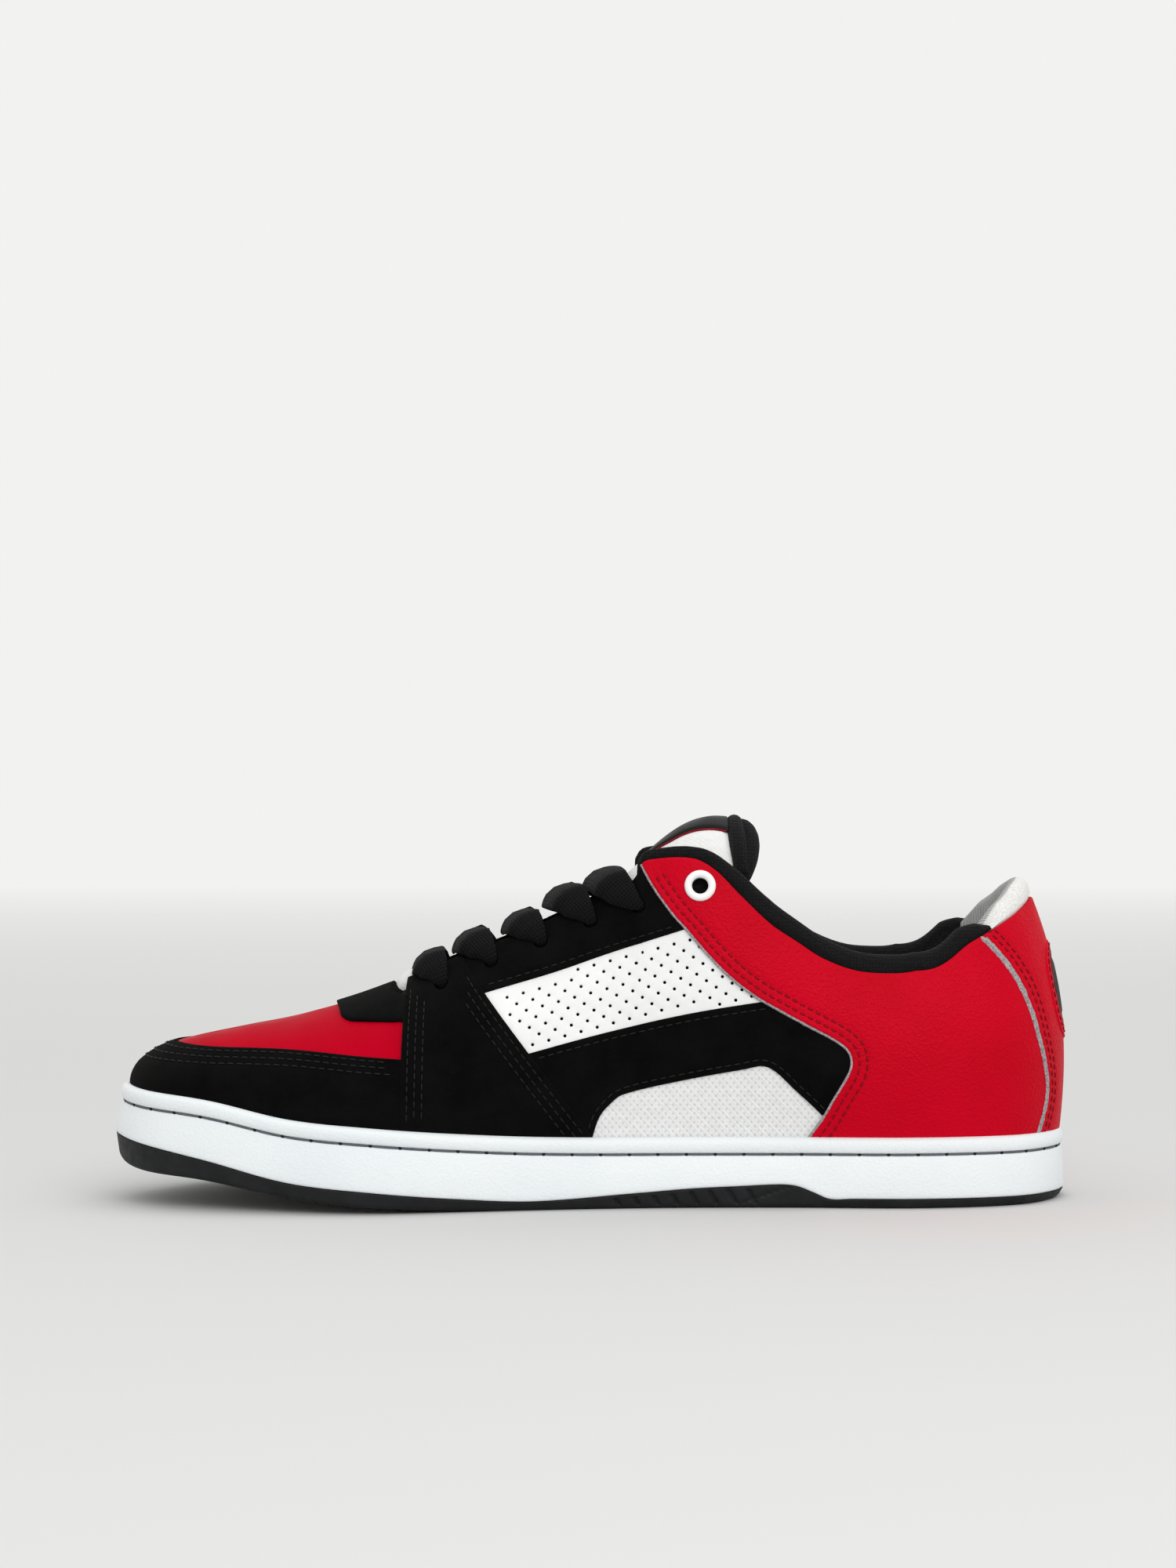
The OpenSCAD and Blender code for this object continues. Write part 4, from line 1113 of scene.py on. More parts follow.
def make_saddle(tag, pattern):
    back = seam_side(pattern, SADDLE_BACK[::-1])
    base = seam_side(pattern, [[SADDLE_FRONT_X, 24.4], [-29, 21.8], [0, 20.8]])
    back = np.vstack([base[-1:], back[1:]])
    high = top_line(pattern, -41, SADDLE_FRONT_X + 0.3)
    high[0] = back[-1]
    front = resample(np.vstack([high[-1:], base[:1]]), 1.0)
    hole = circle(pattern.flat([LACE_HOLES[0]])[0], HOLE_RADIUS, 22)
    seams = []
    for k in (2.0, 4.3, 6.6):
        seams.append(shortened(parallel(back, k), 2.5, 3 + 1.2 * k))
        seams.append(shortened(parallel(front, k), 2 + 0.6 * k, 2.5))
    obj = panel(f"forefoot_saddle_{tag}_suede", loop_of(base, back, high, front), pattern,
                DEPTH["saddle"], 1.5, SUEDE, [hole], seams)
    place_piece(obj, SHOE, "black_suede", f"forefoot_saddle_{tag}")
    return sewn(pattern, seams, "saddle")


def make_quarter(tag, pattern):
    collar = top_line(pattern, 15.4, 123.5, 150)
    front = curved(np.vstack([pattern.flat(QUARTER_FRONT[:1:-1]), collar[:1]]))
    back = curved(np.vstack([collar[-1:], pattern.flat(
        [[131, 77], [137, 69], [141, 60], [143.6, 51], [145.5, 43], [146.3, 35], [145.5, 28],
         [142.5, 19.4]])]))
    base = resample(np.vstack([back[-1], front[0]]), 1.0)
    hole = circle(pattern.flat([TOP_EYELET])[0], 3.2, 26)
    seams = [shortened(parallel(front, -k), 2.5, 3.5) for k in (2.2, 4.6)]
    obj = panel(f"heel_quarter_{tag}_leather", loop_of(front, collar, back, base), pattern,
                DEPTH["quarter"], 1.5, RED_GRAIN, [hole], seams, spacing=2.2)
    place_piece(obj, SHOE, "red_grain_leather", f"heel_quarter_{tag}")
    edge_strip(f"quarter_edge_{tag}", pattern, parallel(front, 0.2), DEPTH["quarter"] + 0.8, 0.5,
               0.55)
    return sewn(pattern, seams, "quarter", 0.12)


def edge_strip(name, pattern, line, depth, wide, high):
    """Raw cut edge of a leather panel: a thin fuzzy bead along its border."""
    line = resample(line, 1.0)
    centre = pattern.solid(line, np.full(len(line), depth))
    up = unit(pattern.solid(line, np.full(len(line), depth - 1.0)) - centre)
    along = unit(np.gradient(centre, axis=0))
    across = unit(np.cross(up, along))
    rng = np.random.default_rng(7)
    rings = []
    for k in range(8):
        a = 2 * math.pi * k / 8
        jitter = 1 + 0.09 * rng.standard_normal(len(line))
        rings.append(centre + (wide * jitter * math.cos(a))[:, None] * across
                     + (high * jitter * math.sin(a))[:, None] * up)
    obj = swept(name, np.stack(rings, 1), RAW_EDGE)
    place_piece(obj, SHOE, "red_grain_leather")


def make_rand():
    reach_m, reach_l = (arc_at(s, rib_of(s, np.array([SADDLE_FRONT_X + 4]), np.array([40.0]))[0])
                        for s in (MEDIAL, LATERAL))
    w = np.linspace(-reach_m, reach_l, 260)
    side, u = TOE_MAP.ribs(np.stack([w, w], -1))
    low = np.stack([w, foot(side, u)[:, 2] - 2.0], -1)
    high = np.stack([w, keyed(TOE_SEAM, u)], -1)[::-1]
    ends = [resample(np.vstack(pair), 1.0) for pair in ((low[-1], high[0]), (high[-1], low[0]))]
    seams = [resample(high + [0, -k], 1.0)[6:-6] for k in (1.3, 3.0, 4.8)]
    obj = panel("toe_rand_suede", loop_of(low, ends[0], high, ends[1]), TOE_MAP, DEPTH["rand"],
                1.4, SUEDE, grooves=seams)
    place_piece(obj, SHOE, "black_suede", "toe_rand")
    return sewn(TOE_MAP, seams, "rand")


def toe_grid(end, low, rows, columns, depth):
    """Grid over the toes: columns of ribs, rows from one edge over the ridge to the other."""
    u = np.linspace(0, 1, columns) * end
    out = []
    for side in (MEDIAL, LATERAL):
        s = np.full((columns, 1), float(side)) + np.zeros((1, rows))
        uu = u[:, None] + np.zeros((1, rows))
        start = low(np.full(columns, float(side)), u)
        t = start[:, None] + (1 - start[:, None]) * np.linspace(0, 1, rows)[None]
        sunk = 4 * np.clip((uu - 4.0) / 0.08, 0, 1) * np.clip((t - 0.7) / 0.2, 0, 1)
        out.append(skin(s, uu, t, depth + sunk))
    return out


def toe_shell(name, end, low, depth, thick, material, rows=44, columns=90):
    """Closed shell over the toes; the two sides share their ridge and their toe rib."""
    layers, flat = [], []
    for d in (depth, depth + thick):
        medial, lateral = toe_grid(end, low, rows, columns, d)
        medial[:, -1] = (medial[:, -1] + lateral[:, -1]) / 2
        layers += [medial, lateral]
    points, lookup = [], {}

    def key(layer, side, i, j):
        k = (layer, 0 if (i == 0 or j == rows - 1) else side, i, j)
        if k not in lookup:
            lookup[k] = len(points)
            points.append(layers[2 * layer + (side if k[1] else 0)][i, j])
            p = points[-1]
            flat.append((p[0], p[1]))
        return lookup[k]

    faces = []
    for side in (0, 1):
        for i in range(columns - 1):
            for j in range(rows - 1):
                quad = [(i, j), (i, j + 1), (i + 1, j + 1), (i + 1, j)]
                a = [key(0, side, *q) for q in quad]
                b = [key(1, side, *q) for q in quad]
                faces.append(tuple(a if side else a[::-1]))
                faces.append(tuple(b[::-1] if side else b))
        for i in range(columns - 1):
            e = [key(0, side, i, 0), key(0, side, i + 1, 0), key(1, side, i + 1, 0),
                 key(1, side, i, 0)]
            faces.append(tuple(e if side else e[::-1]))
        for j in range(rows - 1):
            e = [key(0, side, columns - 1, j), key(0, side, columns - 1, j + 1),
                 key(1, side, columns - 1, j + 1), key(1, side, columns - 1, j)]
            faces.append(tuple(e if side else e[::-1]))
    return fix_normals(add_mesh(name, np.array(points), faces, material, np.array(flat)))


def make_vamp():
    obj = toe_shell("toe_vamp_leather", 4.25,
                    lambda s, u: t_of(s, u, keyed(TOE_SEAM, u) - 4), DEPTH["vamp"], 1.2, RED_SMOOTH)
    place_piece(obj, SHOE, "red_smooth_leather", "toe_vamp")
    inner_low = lambda s, u: t_of(s, u, foot(s, u)[..., 2] - 3.5)
    obj = toe_shell("vamp_lining_cloth", 4.3, inner_low, 2.9, 2.0, WHITE_LINING, 26, 60)
    place_piece(obj, SHOE, "white_lining", "vamp_lining", "toe_puff")


def make_throat_tab():
    """Black tab with a rounded front where the tongue is sewn to the vamp."""
    n, m = 44, 40
    rows = []
    start, end = 3.42, 4.2
    for i in range(n):
        f = 1 - math.cos(math.pi / 2 * i / (n - 1))
        u = start + (end - start) * f
        low = 57.4 + 4.4 * (1 - min(1, f * 2.6)) ** 2
        one = np.array([1.0])
        half = (1 - t_of(one, one * u, one * low)[0]) * min(1.0, 0.08 + math.sqrt(f * 5))
        v = np.linspace(-1, 1, m)
        side = np.where(v < 0, -1.0, 1.0)
        rows.append((side, np.full(m, u), 1 - half * np.abs(v)))
    side, u, t = (np.array([r[k] for r in rows]) for k in range(3))
    v = np.linspace(-1, 1, m)[None] + np.zeros((n, 1))
    f = np.linspace(0, 1, n)[:, None] + np.zeros((1, m))
    rounding = 0.5 * np.maximum(np.abs(v) ** 14, (1 - f) ** 14)
    # Behind the tongue's end the middle dips, so that the tongue rises out of it.
    height = skin(side, u, t, np.zeros(t.shape))[..., 2]
    dip = 3.2 * np.clip((u - 4.06) / 0.04, 0, 1) * np.clip((height - 64.6) / 1.4, 0, 1)
    outer = skin(side, u, t, DEPTH["tab"] + rounding + dip)
    inner = skin(side, u, t, DEPTH["tab"] + 1.5 + dip)
    obj = thick_grid("throat_tab_suede", outer, inner, SUEDE, outer[..., :2])
    place_piece(obj, SHOE, "black_suede", "throat_tab")


def make_backstay():
    ribs = rib_of(MEDIAL, np.array(BACKSTAY_FRONT)[:, 0], np.array(BACKSTAY_FRONT)[:, 1])
    front = curved(np.stack([arc_at(MEDIAL, ribs) - ARC[MEDIAL][-1],
                             np.array(BACKSTAY_FRONT)[:, 1]], -1))
    mirror = front * [-1, 1]
    w = np.linspace(front[-1, 0], mirror[-1, 0], 40)
    side, u = HEEL_MAP.ribs(np.stack([w, w], -1))
    collar = np.stack([w, top(side, u)[:, 2]], -1)
    front[-1, 1], mirror[-1, 1] = collar[0, 1], collar[-1, 1]
    base = resample(np.vstack([front[0], mirror[0]]), 1.0)
    loop = loop_of(base, mirror, collar[::-1], front[::-1])
    seams = [shortened(parallel(front, -k), 2, 3) for k in (2.4, 4.4)]
    seams += [s * [-1, 1] for s in seams]
    obj = panel("backstay_leather", loop, HEEL_MAP, DEPTH["backstay"], 1.6, RED_GRAIN,
                grooves=seams, spacing=2.0)
    place_piece(obj, SHOE, "red_grain_leather", "backstay")
    strip = parallel(front, 0.75)
    for name, line in (("medial", strip), ("lateral", strip * [-1, 1])):
        edge_strip(f"backstay_edge_{name}", HEEL_MAP, line, DEPTH["backstay"] + 0.4, 1.25, 0.55)
    return sewn(HEEL_MAP, seams, "backstay", 0.12)


def rounded(wide, high, z, count=80):
    a = np.linspace(0, 2 * math.pi, count, endpoint=False)
    return np.stack([wide * np.sign(np.cos(a)) * np.abs(np.cos(a)) ** 0.8,
                     z + high * np.sign(np.sin(a)) * np.abs(np.sin(a)) ** 0.85], -1)


def make_patch():
    """Plain dark patch, sunk in a stitched red frame."""
    loop = rounded(10.2, 12.2, 66.0)

    def rim(flat):
        d = line_distance(flat, loop, True)
        return 0.3 * np.clip((d - 1.2) / 0.5, 0, 1) - 0.25 * np.clip((d - 3.6) / 0.6, 0, 1)

    obj = panel("heel_patch_rubber", loop, HEEL_MAP, DEPTH["patch"], 1.0, PATCH, spacing=0.9,
                relief=rim)
    place_piece(obj, SHOE, "patch_rubber", "heel_patch")
    seam = resample(rounded(11.9, 14.0, 65.6), 1.0, closed=True)
    seam = np.vstack([seam, seam[:1]])
    obj = panel("heel_patch_frame", rounded(13.4, 15.6, 65.2), HEEL_MAP, DEPTH["patch"] - 0.15, 1.2,
                RED_GRAIN, [rounded(10.35, 12.35, 66.0, 60)], [seam])
    place_piece(obj, SHOE, "red_grain_leather")
    return sewn(HEEL_MAP, [seam], "patch", -0.05)


def make_upper():
    black, red = [], []
    for tag, pattern in SIDES.items():
        make_vent(tag, pattern)
        make_window(tag, pattern)
        black += make_stripe(tag, pattern)
        black += make_eyestay(tag, pattern)
        black += make_saddle(tag, pattern)
        red += make_quarter(tag, pattern)
    black += make_rand()
    make_vamp()
    make_throat_tab()
    red += make_backstay()
    red += make_patch()
    place_piece(stitches("upper_stitches_black", black, BLACK_THREAD), SHOE, "black_suede")
    place_piece(stitches("upper_stitches_red", red, RED_THREAD, 0.5, 2.7, 1.9), SHOE,
                "red_grain_leather")


# ---- collar and lining ---------------------------------------------------------------------

TAB_RIB = 9.35


def collar_rings(side, ribs, profile):
    """Rings across the top edge: profile gives (inward, up) pairs for each rib."""
    rings = []
    for s, u in zip(side, ribs):
        p = top(np.array([s]), np.array([u]))[0]
        o = outward(np.array([s]), np.array([u]))[0]
        section = profile(u)
        rings.append([[p[0] - i * o[0], p[1] - i * o[1], p[2] + z] for i, z in section])
    return np.array(rings)


def ring_pattern(rings):
    """Flat pattern of a tube: length along its first edge, and the point's number."""
    return np.stack(np.meshgrid(walk(rings[:, 0]), np.arange(rings.shape[1]) * 1.0,
                                indexing="ij"), -1)


def roll_size(u):
    return float(np.interp(u, [5.86, 6.3, 6.6, 7.0, 8.0, 9.0, 9.4],
                           [1.4, 2.0, 3.2, 4.0, 4.4, 4.2, 2.4]))


def roll_height(u):
    return float(np.interp(u, [5.86, 5.9, 6.3, 6.5, 6.65, 6.87, 7.07, 7.3, 7.6, 8.0, 8.8, 9.15, 9.4],
                           [2.0, 2.6, 3.4, 5.3, 7.0, 7.2, 6.4, 6.0, 5.4, 5.2, 5.3, 3.4, 0.5]))


def collar_profile(u):
    """Padded roll on the collar edge, with the lining going down inside."""
    r, high = roll_size(u), roll_height(u)
    depth = float(np.interp(u, [5.86, 6.6, 7.2, 9.4], [7, 20, 30, 30]))
    section = [(0.9, -3.0), (0.75, -1.2), (0.7, 0.0)]
    for k in range(12):
        a = math.pi * k / 11
        section.append((0.6 + r * (1 - math.cos(a)), 0.3 + high * math.sin(a)))
    bulge = 0.6 + 2 * r
    section += [(bulge + 0.6 * math.sin(f * math.pi) * r, -depth * f * 0.5)
                for f in (0.15, 0.4, 0.7, 1)]
    section += [(bulge - 1.2, -depth * 0.5 - 2), (4.5, -depth * 0.55), (3.2, -depth * 0.3)]
    return section


def make_collar():
    half = np.linspace(5.86, TAB_RIB + 0.05, 120)
    for tag, s in (("medial", -1.0), ("lateral", 1.0)):
        rings = collar_rings(np.full(len(half), s), half, collar_profile)
        obj = swept(f"collar_roll_{tag}", rings, BLACK_KNIT, ring_pattern(rings))
        if s < 0:
            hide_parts("collar_binding", "collar_foam_medial", "collar_foam_lateral")
        place_piece(obj, SHOE, "collar_knit")


def tab_profile(u):
    grow = float(np.interp(u, [9.3, 9.35, 9.7, 10.3], [0.1, 0.15, 0.75, 1.0]))
    section = [(0.9, -2.5), (0.35, 0.4), (0.0, 1.6 * grow)]
    for k in range(12):
        a = math.pi * k / 11
        section.append((3.9 - 3.7 * math.cos(a), 2.2 * grow + 4.2 * grow * math.sin(a)))
    section += [(7.8, -1), (8.4, -8), (7.6, -16), (5.6, -20), (4.0, -12)]
    return section


def make_heel_tab():
    ribs = np.concatenate([np.linspace(TAB_RIB, 11, 60), np.linspace(11, TAB_RIB, 60)[1:]])
    side = np.concatenate([np.full(60, -1.0), np.full(59, 1.0)])
    rings = collar_rings(side, ribs, tab_profile)
    obj = swept("heel_tab_cloth", rings, HEEL_TAB, ring_pattern(rings))
    place_piece(obj, SHOE, "white_tab_fabric", "heel_tab")


def make_lining():
    """Inner cloth from the insole up to the collar, both sides and round the heel."""
    half = np.linspace(4.1, 11, 150)
    for tag, s in (("medial", -1.0), ("lateral", 1.0)):
        side = np.full((len(half), 1), s) + np.zeros((1, 30))
        u = half[:, None] + np.zeros((1, 30))
        low = t_of(side[:, 0], half, foot(side[:, 0], half)[:, 2] - 3.6)
        t = low[:, None] + (0.965 - low[:, None]) * np.linspace(0, 1, 30)[None]
        outer = skin(side, u, t, np.full(t.shape, 2.6))
        inner = skin(side, u, t, np.full(t.shape, 4.9))
        uv = np.stack([half[:, None] * 40 + np.zeros((1, 30)), t * 80], -1)
        obj = thick_grid(f"quarter_lining_{tag}_cloth", outer, inner, BLACK_LINING, uv)
        nodes = ["quarter_lining_medial", "heel_lining", "heel_counter"] if s < 0 else [
            "quarter_lining_lateral"]
        place_piece(obj, SHOE, "black_lining", *nodes)


# ---- tongue --------------------------------------------------------------------------------

def tongue_surface(x, v, depth):
    y = v * keyed(TONGUE_HALF, x) - 2 * np.clip((40 - x) / 100, 0, 1)
    z = keyed(TONGUE, x) - keyed(TONGUE_SAG, x) * v * v - depth
    return np.stack(np.broadcast_arrays(x, y, z), -1)


def make_tongue():
    n, m = 190, 60
    x = np.linspace(-64, 44.2, n)[:, None] + np.zeros((1, m))
    v = np.linspace(-1, 1, m)[None] + np.zeros((n, 1))
    edge = 2.2 * np.maximum(np.abs(v) ** 18, np.clip((x - 40.7) / 3.5, 0, 1) ** 2)
    outer = tongue_surface(x, v, edge)
    inner = tongue_surface(x, v, 5.6 - 0.8 * edge)
    uv = np.stack([x, v * 20], -1)
    obj = thick_grid("tongue_cloth", outer, inner, TONGUE_MESH, uv)
    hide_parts("tongue_base", "tongue_top")
    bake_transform(obj)


def tube_along(name, centre, radius_a, radius_b, up, material, sides=16):
    along = unit(np.gradient(centre, axis=0))
    across = unit(np.cross(along, up))
    rise = np.cross(across, along)
    a = np.linspace(0, 2 * math.pi, sides, endpoint=False)
    ra, rb = np.broadcast_to(radius_a, len(centre)), np.broadcast_to(radius_b, len(centre))
    rings = (centre[:, None] + (ra[:, None] * np.cos(a))[..., None] * across[:, None]
             + (rb[:, None] * np.sin(a))[..., None] * rise[:, None])
    uv = np.stack(np.meshgrid(walk(centre), a * 3, indexing="ij"), -1)
    return swept(name, rings, material, uv)


def make_binding():
    v = np.linspace(-1.02, 1.02, 90)
    front = tongue_surface(np.full(90, 45.3), v, np.full(90, 1.2))
    front[:, 0] += 2.0 * np.abs(v) ** 2.2
    taper = 1 - 0.35 * np.abs(v) ** 8
    up = np.tile([0.0, 0.0, 1.0], (90, 1))
    obj = tube_along("tongue_binding_roll", front, 2.9 * taper, 3.4 * taper, up, BLACK_KNIT)
    place_piece(obj, FLAP, "collar_knit", "tongue_binding")
    back = tongue_surface(np.full(90, 46.6), v, np.full(90, 1.7))
    back[:, 0] += 1.2 + 2.6 * np.sin(math.pi * np.minimum(1, np.abs(v)) ** 1.2)
    obj = tube_along("tongue_inner_pad", back, 2.4 * taper, 3.0 * taper, up, BLACK_KNIT)
    place_piece(obj, FLAP, "collar_knit")


def label_half(x):
    """Half width of the label, as a share of the tongue's."""
    return np.interp(x, [17.5, 25, 43], [0.2, 0.36, 0.5])


def make_label():
    n, m = 70, 26
    x = np.linspace(17.5, 43, n)[:, None] + np.zeros((1, m))
    half = label_half(x)
    v = np.linspace(-1, 1, m)[None] * half
    edge = 0.35 * np.clip((np.abs(v) / half - 0.93) / 0.07, 0, 1)
    outer = tongue_surface(x, v, -1.15 + edge)
    inner = tongue_surface(x, v, np.full(v.shape, 0.15))
    uv = np.stack([x, v * 20], -1)
    obj = thick_grid("tongue_label_tape", outer, inner, LABEL, uv)
    place_piece(obj, FLAP, "label_tape", "tongue_label")
    x = np.linspace(18, 42.5, 60)
    for tag, sign in (("medial", -1), ("lateral", 1)):
        v = sign * (label_half(x) + 0.012)
        line = tongue_surface(x, v, np.full(60, -0.2))
        obj = tube_along(f"label_edge_{tag}", line, 0.42, 0.36, np.tile([0.0, 0.0, 1.0], (60, 1)),
                         RED_THREAD, 8)
        place_piece(obj, FLAP, "label_tape")


# ---- laces and eyelets -----------------------------------------------------------------------

def hole_frame(side, hole):
    u = rib_of(side, np.array([hole[0]], float), np.array([hole[1]], float))
    s = np.array([float(side)])
    t = t_of(s, u, np.array([hole[1]], float))
    return wall(s, u, t)[0], wall_normal(s, u, t)[0]


def lace_section(width, thick, sides=20):
    """Flat oval section with rounded edges."""
    a = np.linspace(0, 2 * math.pi, sides, endpoint=False)
    x = np.sign(np.cos(a)) * np.abs(np.cos(a)) ** 0.55
    y = np.sign(np.sin(a)) * np.abs(np.sin(a)) ** 0.75
    return np.stack([x * width / 2, y * thick / 2], -1)


def lace_bar(index, hole):
    """One visible run of the lace: up out of a hole, over the throat and down the other side."""
    (m, nm), (l, nl) = hole_frame(MEDIAL, hole), hole_frame(LATERAL, hole)
    rise, lean = LACE_RISE[index], LACE_LEAN[index]

    def climb(p, n, span, rise, lean):
        """Centre, width and thickness from inside the hole p up to the throat."""
        return [(p - 6.0 * n, 3.4, 1.9), (p - 2.5 * n, 3.6, 1.9), (p + 0.2 * n, 4.4, 1.8),
                (p + 1.7 * n + 1.2 * span + [0.12 * lean, 0, 0.16 * rise], 6.6, 1.5),
                (p + 2.2 * n + 3.2 * span + [0.4 * lean, 0, 0.45 * rise], 10.0, 1.35),
                (p + 2.0 * n + 7.0 * span + [0.8 * lean, 0, 0.85 * rise], 12.6, 1.3)]

    keys = climb(m, nm, unit(l - m), rise, lean)
    keys.append(((m + l) / 2 + [1.15 * lean, 0, rise - 0.2], 13.0, 1.3))
    keys += climb(l, nl, unit(m - l), rise - 1.0, 1.45 * lean)[::-1]
    centre, wide, thick = (np.array(column) for column in zip(*keys))
    d = walk(centre)
    at = np.linspace(0, d[-1], 110)
    centre = keyed(np.column_stack([d, centre]), at)
    wide, thick = np.interp(at, d, wide), np.interp(at, d, thick)
    along = unit(np.gradient(centre, axis=0))
    lean = np.array([0.90, 0.0, 0.43])
    edge = unit(lean - (along @ lean)[:, None] * along)
    rise = np.cross(along, edge)
    rings, flat = [], []
    for c, w, h, e, r, s in zip(centre, wide, thick, edge, rise, at):
        section = lace_section(w, h)
        # The flat lace arches a little and its edge toward the toe curls down.
        across = 2 * section[:, 0] / w
        bow = w * (0.24 * np.clip(-across, 0, 1) ** 2 + 0.05 * np.clip(across, 0, 1) ** 2
                   - 0.04 * (1 - across ** 2))
        rings.append(c + section[:, :1] * e + (section[:, 1:] + bow[:, None]) * r)
        flat.append(np.stack([np.full(len(section), s),
                              section[:, 0] + (section[:, 1] > 0) * 20], -1))
    return swept(f"lace_bar_{index + 1}", np.array(rings), LACE, np.array(flat))


def lace_under(name, side, holes, off):
    path = []
    for h in holes:
        p, n = hole_frame(side, h)
        path.append(p - (6.2 + off) * n)
    centre = resample(np.array(path), 1.5)
    p, n = hole_frame(side, holes[0])
    return tube_along(name, centre, 2.6, 0.7, np.tile(n, (len(centre), 1)), LACE, 12)


def lace_tail(name, side, aglet):
    """The lace's end, from the last hole down inside the quarter into its aglet."""
    p, n = hole_frame(side, LACE_HOLES[-1])
    path = [p - 5.0 * n, p - 6.6 * n + [2.0, 0, -1.6]]
    for hole, depth in (((24, 84), 7.6), ((33, 76.5), 8.6)):
        q, m = hole_frame(side, hole)
        path.append(q - depth * m)
    path.append(np.array(aglet))
    centre = curved(path, 1.5)
    f = np.linspace(0, 1, len(centre))
    wide = np.interp(f, [0, 0.85, 1], [2.6, 2.6, 1.2])
    thick = np.interp(f, [0, 0.85, 1], [0.7, 0.7, 1.1])
    return tube_along(name, centre, wide, thick, np.tile(n, (len(centre), 1)), LACE, 12)


def make_laces():
    bars = [lace_bar(i, h) for i, h in enumerate(LACE_HOLES)]
    h = LACE_HOLES
    bars += [lace_under("lace_under_1", MEDIAL, [h[0], h[1]], 0.0),
             lace_under("lace_under_2", MEDIAL, [h[2], h[3], h[4]], 0.0),
             lace_under("lace_under_3", LATERAL, [h[0], h[1], h[2]], 0.0),
             lace_under("lace_under_4", LATERAL, [h[1], h[2], h[3]], 1.6)]
    bars += [lace_tail("lace_tail_medial", MEDIAL, [44.4, -24.3, 67.7]),
             lace_tail("lace_tail_lateral", LATERAL, [43.1, 28.5, 66.6])]
    bpy.ops.object.select_all(action="DESELECT")
    for bar in bars:
        bar.select_set(True)
    bpy.context.view_layer.objects.active = bars[0]
    bpy.ops.object.join()
    bars[0].name = "flat_lace"
    place_piece(bars[0], SHOE, "lace_weave", "lace")


def lathe(name, profile, place, normal, material, steps=72):
    """Turned ring: profile is (radius, height) pairs round a closed section."""
    z = Vector(normal).normalized()
    x = z.orthogonal().normalized()
    y = z.cross(x)
    rings = []
    for k in range(steps):
        a = 2 * math.pi * k / steps
        way = np.array(x) * math.cos(a) + np.array(y) * math.sin(a)
        rings.append([np.array(place) + r * way + h * np.array(z) for r, h in profile])
    return swept(name, np.array(rings), material, closed=True)


def make_top_eyelets():
    profile = [(2.55, -1.8), (2.5, 0.2), (2.7, 0.75), (3.2, 1.12), (3.9, 1.2), (4.5, 0.95),
               (4.8, 0.5), (4.85, 0.05), (4.7, -0.25), (3.4, -0.3), (3.15, -1.8)]
    for tag, side in (("medial", MEDIAL), ("lateral", LATERAL)):
        p, n = hole_frame(side, TOP_EYELET)
        obj = lathe(f"top_eyelet_{tag}_ring", profile, p + 0.55 * n, n, WHITE_PLASTIC)
        place_piece(obj, SHOE, "white_plastic", f"top_eyelet_{tag}")


# ---- CAD pieces that stay ------------------------------------------------------------------

def keep_node(node, material):
    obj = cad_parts[node]
    obj.data.materials.clear()
    obj.data.materials.append(material)


INSOLE_IN = 7.4


def make_insole():
    """One soft footbed with a raised edge and a heel cup."""
    n, m = 150, 40
    u = np.linspace(0.02, 10.98, n)
    heel = np.clip((u - 4.2) / 0.8, 0, 1)
    inset = keyed(UPPER_INSET, u) + INSOLE_IN + 1.2 * heel
    medial = ring(np.full(n, float(MEDIAL)), u, inset)
    lateral = ring(np.full(n, float(LATERAL)), u, inset)
    f = (1 - np.cos(np.linspace(0, math.pi, m))) / 2
    xy = medial[:, None] + (lateral - medial)[:, None] * f[None, :, None]
    xy[..., 0] += 1.6 * heel[:, None]
    side = np.abs(2 * f - 1)[None]
    end = np.maximum(1 - np.clip(u / 0.5, 0, 1), 1 - np.clip((11 - u) / 0.5, 0, 1))[:, None]
    edge = np.maximum(side, end)
    z = keyed(RIM, xy[..., 0]) + 0.9 + 1.6 * edge ** 4 - 2.0 * np.clip((edge - 0.96) / 0.04, 0, 1)
    outer = np.concatenate([xy, z[..., None]], -1)
    inner = np.concatenate([xy, (keyed(RIM, xy[..., 0]) - 4.2)[..., None]], -1)
    obj = thick_grid("insole_footbed", outer, inner, INSOLE, xy)
    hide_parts("insole_forefoot", "insole_heel")
    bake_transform(obj)


def make_inside():
    keep_node("aglets", BLACK_PLASTIC)
    keep_node("lasting_board", WHITE_LINING)
    keep_node("midsole_cushion", SOLE_WHITE)


# ---- stage ---------------------------------------------------------------------------------

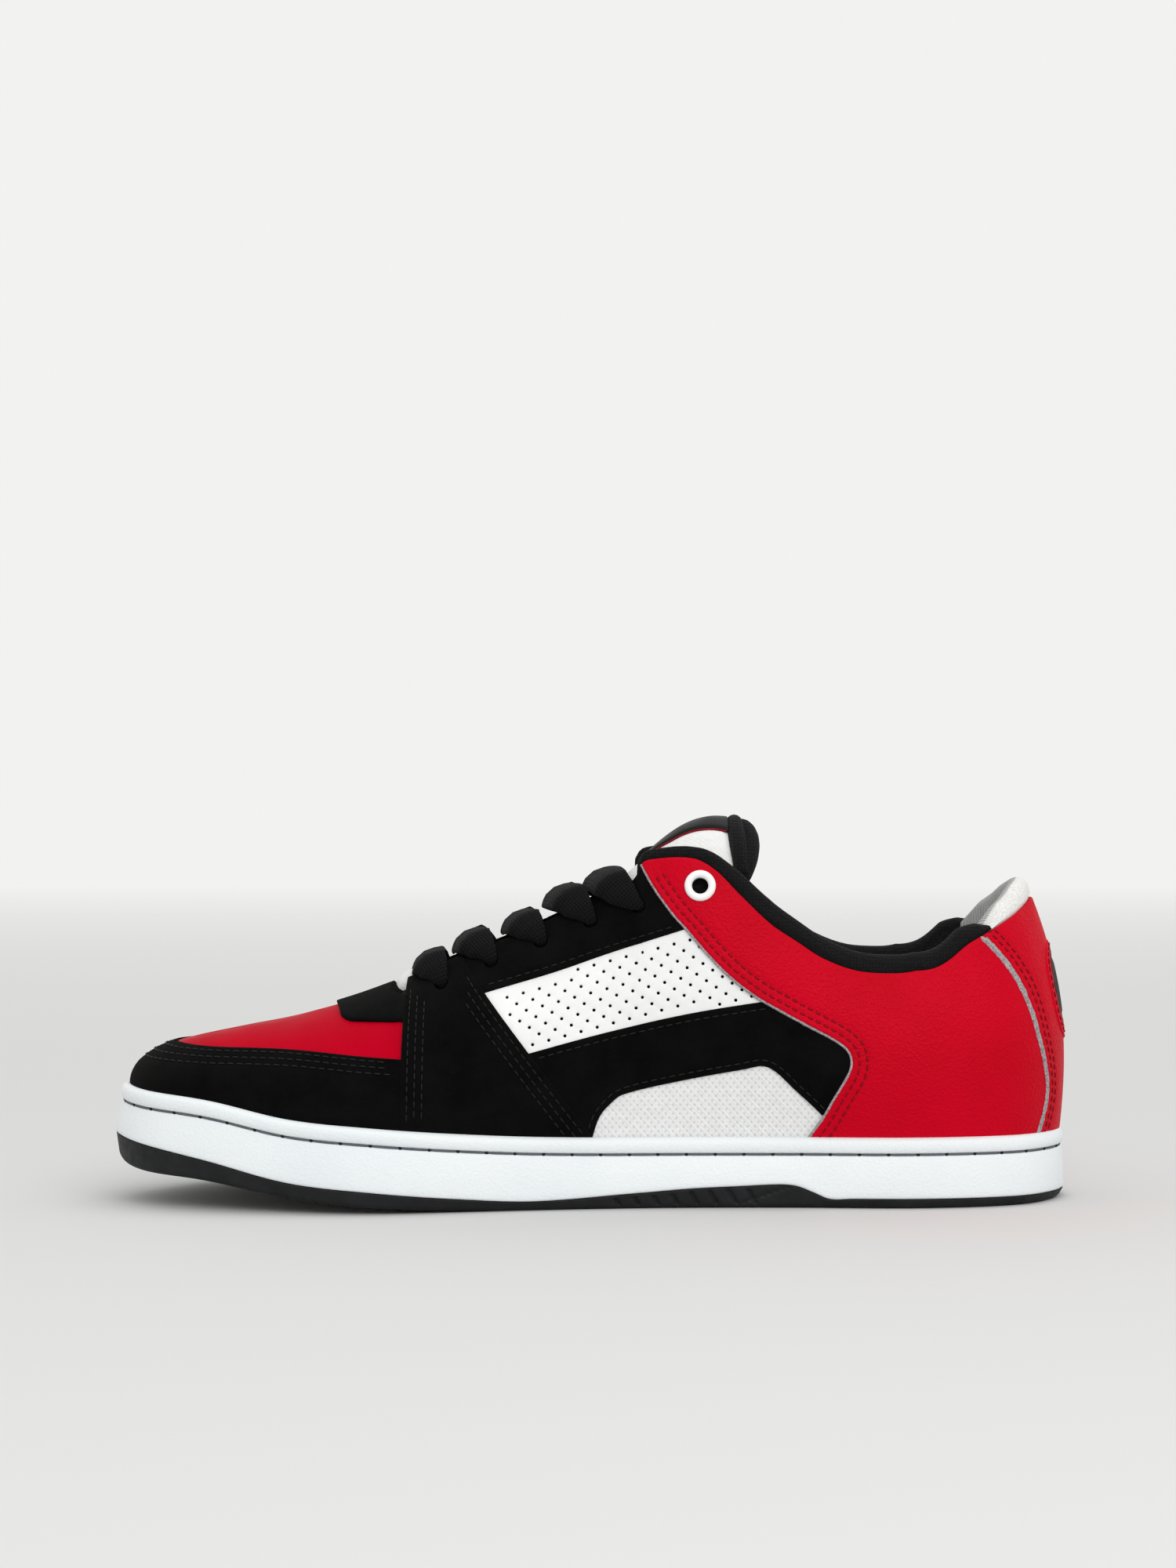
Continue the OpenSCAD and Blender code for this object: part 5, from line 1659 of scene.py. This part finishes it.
def make_stage():
    """Level floor that fades into the plain studio light far behind the shoe."""
    rows = np.concatenate([np.linspace(-3, 1, 9), np.linspace(1, 3.4, 13)[1:]])
    points = [(x, y, 0.0) for y in rows for x in (-6.0, 6.0)]
    faces = [(2 * i, 2 * i + 1, 2 * i + 3, 2 * i + 2) for i in range(len(rows) - 1)]
    m = Nodes("studio_floor")
    m.set(Roughness=0.9, Specular_IOR_Level=0.1)
    m.colour(m.mix(m.noise(1.5, 2), (0.635, 0.638, 0.635), (0.65, 0.653, 0.65)))
    place = m.node("ShaderNodeSeparateXYZ", {"Vector": m.place()})
    clear = m.node("ShaderNodeBsdfTransparent")
    fade = m.node("ShaderNodeMixShader", {0: m.ramp(place.outputs[1], 0.3, 3.0)})
    m.tree.links.new(m.shader.outputs[0], fade.inputs[1])
    m.tree.links.new(clear.outputs[0], fade.inputs[2])
    m.tree.links.new(fade.outputs[0], m.tree.nodes["Material Output"].inputs["Surface"])
    mesh = bpy.data.meshes.new("floor")
    mesh.from_pydata(points, [], faces)
    mesh.materials.append(m.material)
    obj = bpy.data.objects.new("floor", mesh)
    bpy.context.scene.collection.objects.link(obj)


def area_light(name, place, target, size, power):
    data = bpy.data.lights.new(name, "AREA")
    data.shape = "RECTANGLE"
    data.size, data.size_y = size
    data.energy = power
    obj = bpy.data.objects.new(name, data)
    obj.location = place
    obj.rotation_euler = (Vector(target) - Vector(place)).to_track_quat("-Z", "Y").to_euler()
    bpy.context.scene.collection.objects.link(obj)


def make_lights():
    world = bpy.data.worlds.new("studio")
    bpy.context.scene.world = world
    world.use_nodes = True
    world.node_tree.nodes["Background"].inputs[0].default_value = (0.89, 0.888, 0.872, 1)
    world.node_tree.nodes["Background"].inputs[1].default_value = 1.0
    area_light("key", (0.35, -1.3, 0.9), (0, 0, 0.05), (1.2, 0.7), 8.5)
    area_light("top", (0.0, 0.2, 1.6), (0, 0.05, 0), (1.4, 1.0), 3.0)
    bpy.context.scene.view_settings.view_transform = "Standard"


def make_camera():
    data = bpy.data.cameras.new("camera")
    data.sensor_fit = "VERTICAL"
    data.sensor_height = 36.0
    data.lens = 72.0
    obj = bpy.data.objects.new("camera", data)
    obj.location = (-0.00125, -1.0, 0.1305)
    obj.rotation_euler = (math.pi / 2, 0, 0)
    bpy.context.scene.collection.objects.link(obj)
    bpy.context.scene.camera = obj


make_camera()
make_lights()
make_stage()
make_sole()
make_upper()
make_collar()
make_heel_tab()
make_lining()
make_tongue()
make_binding()
make_label()
make_laces()
make_top_eyelets()
make_insole()
make_inside()
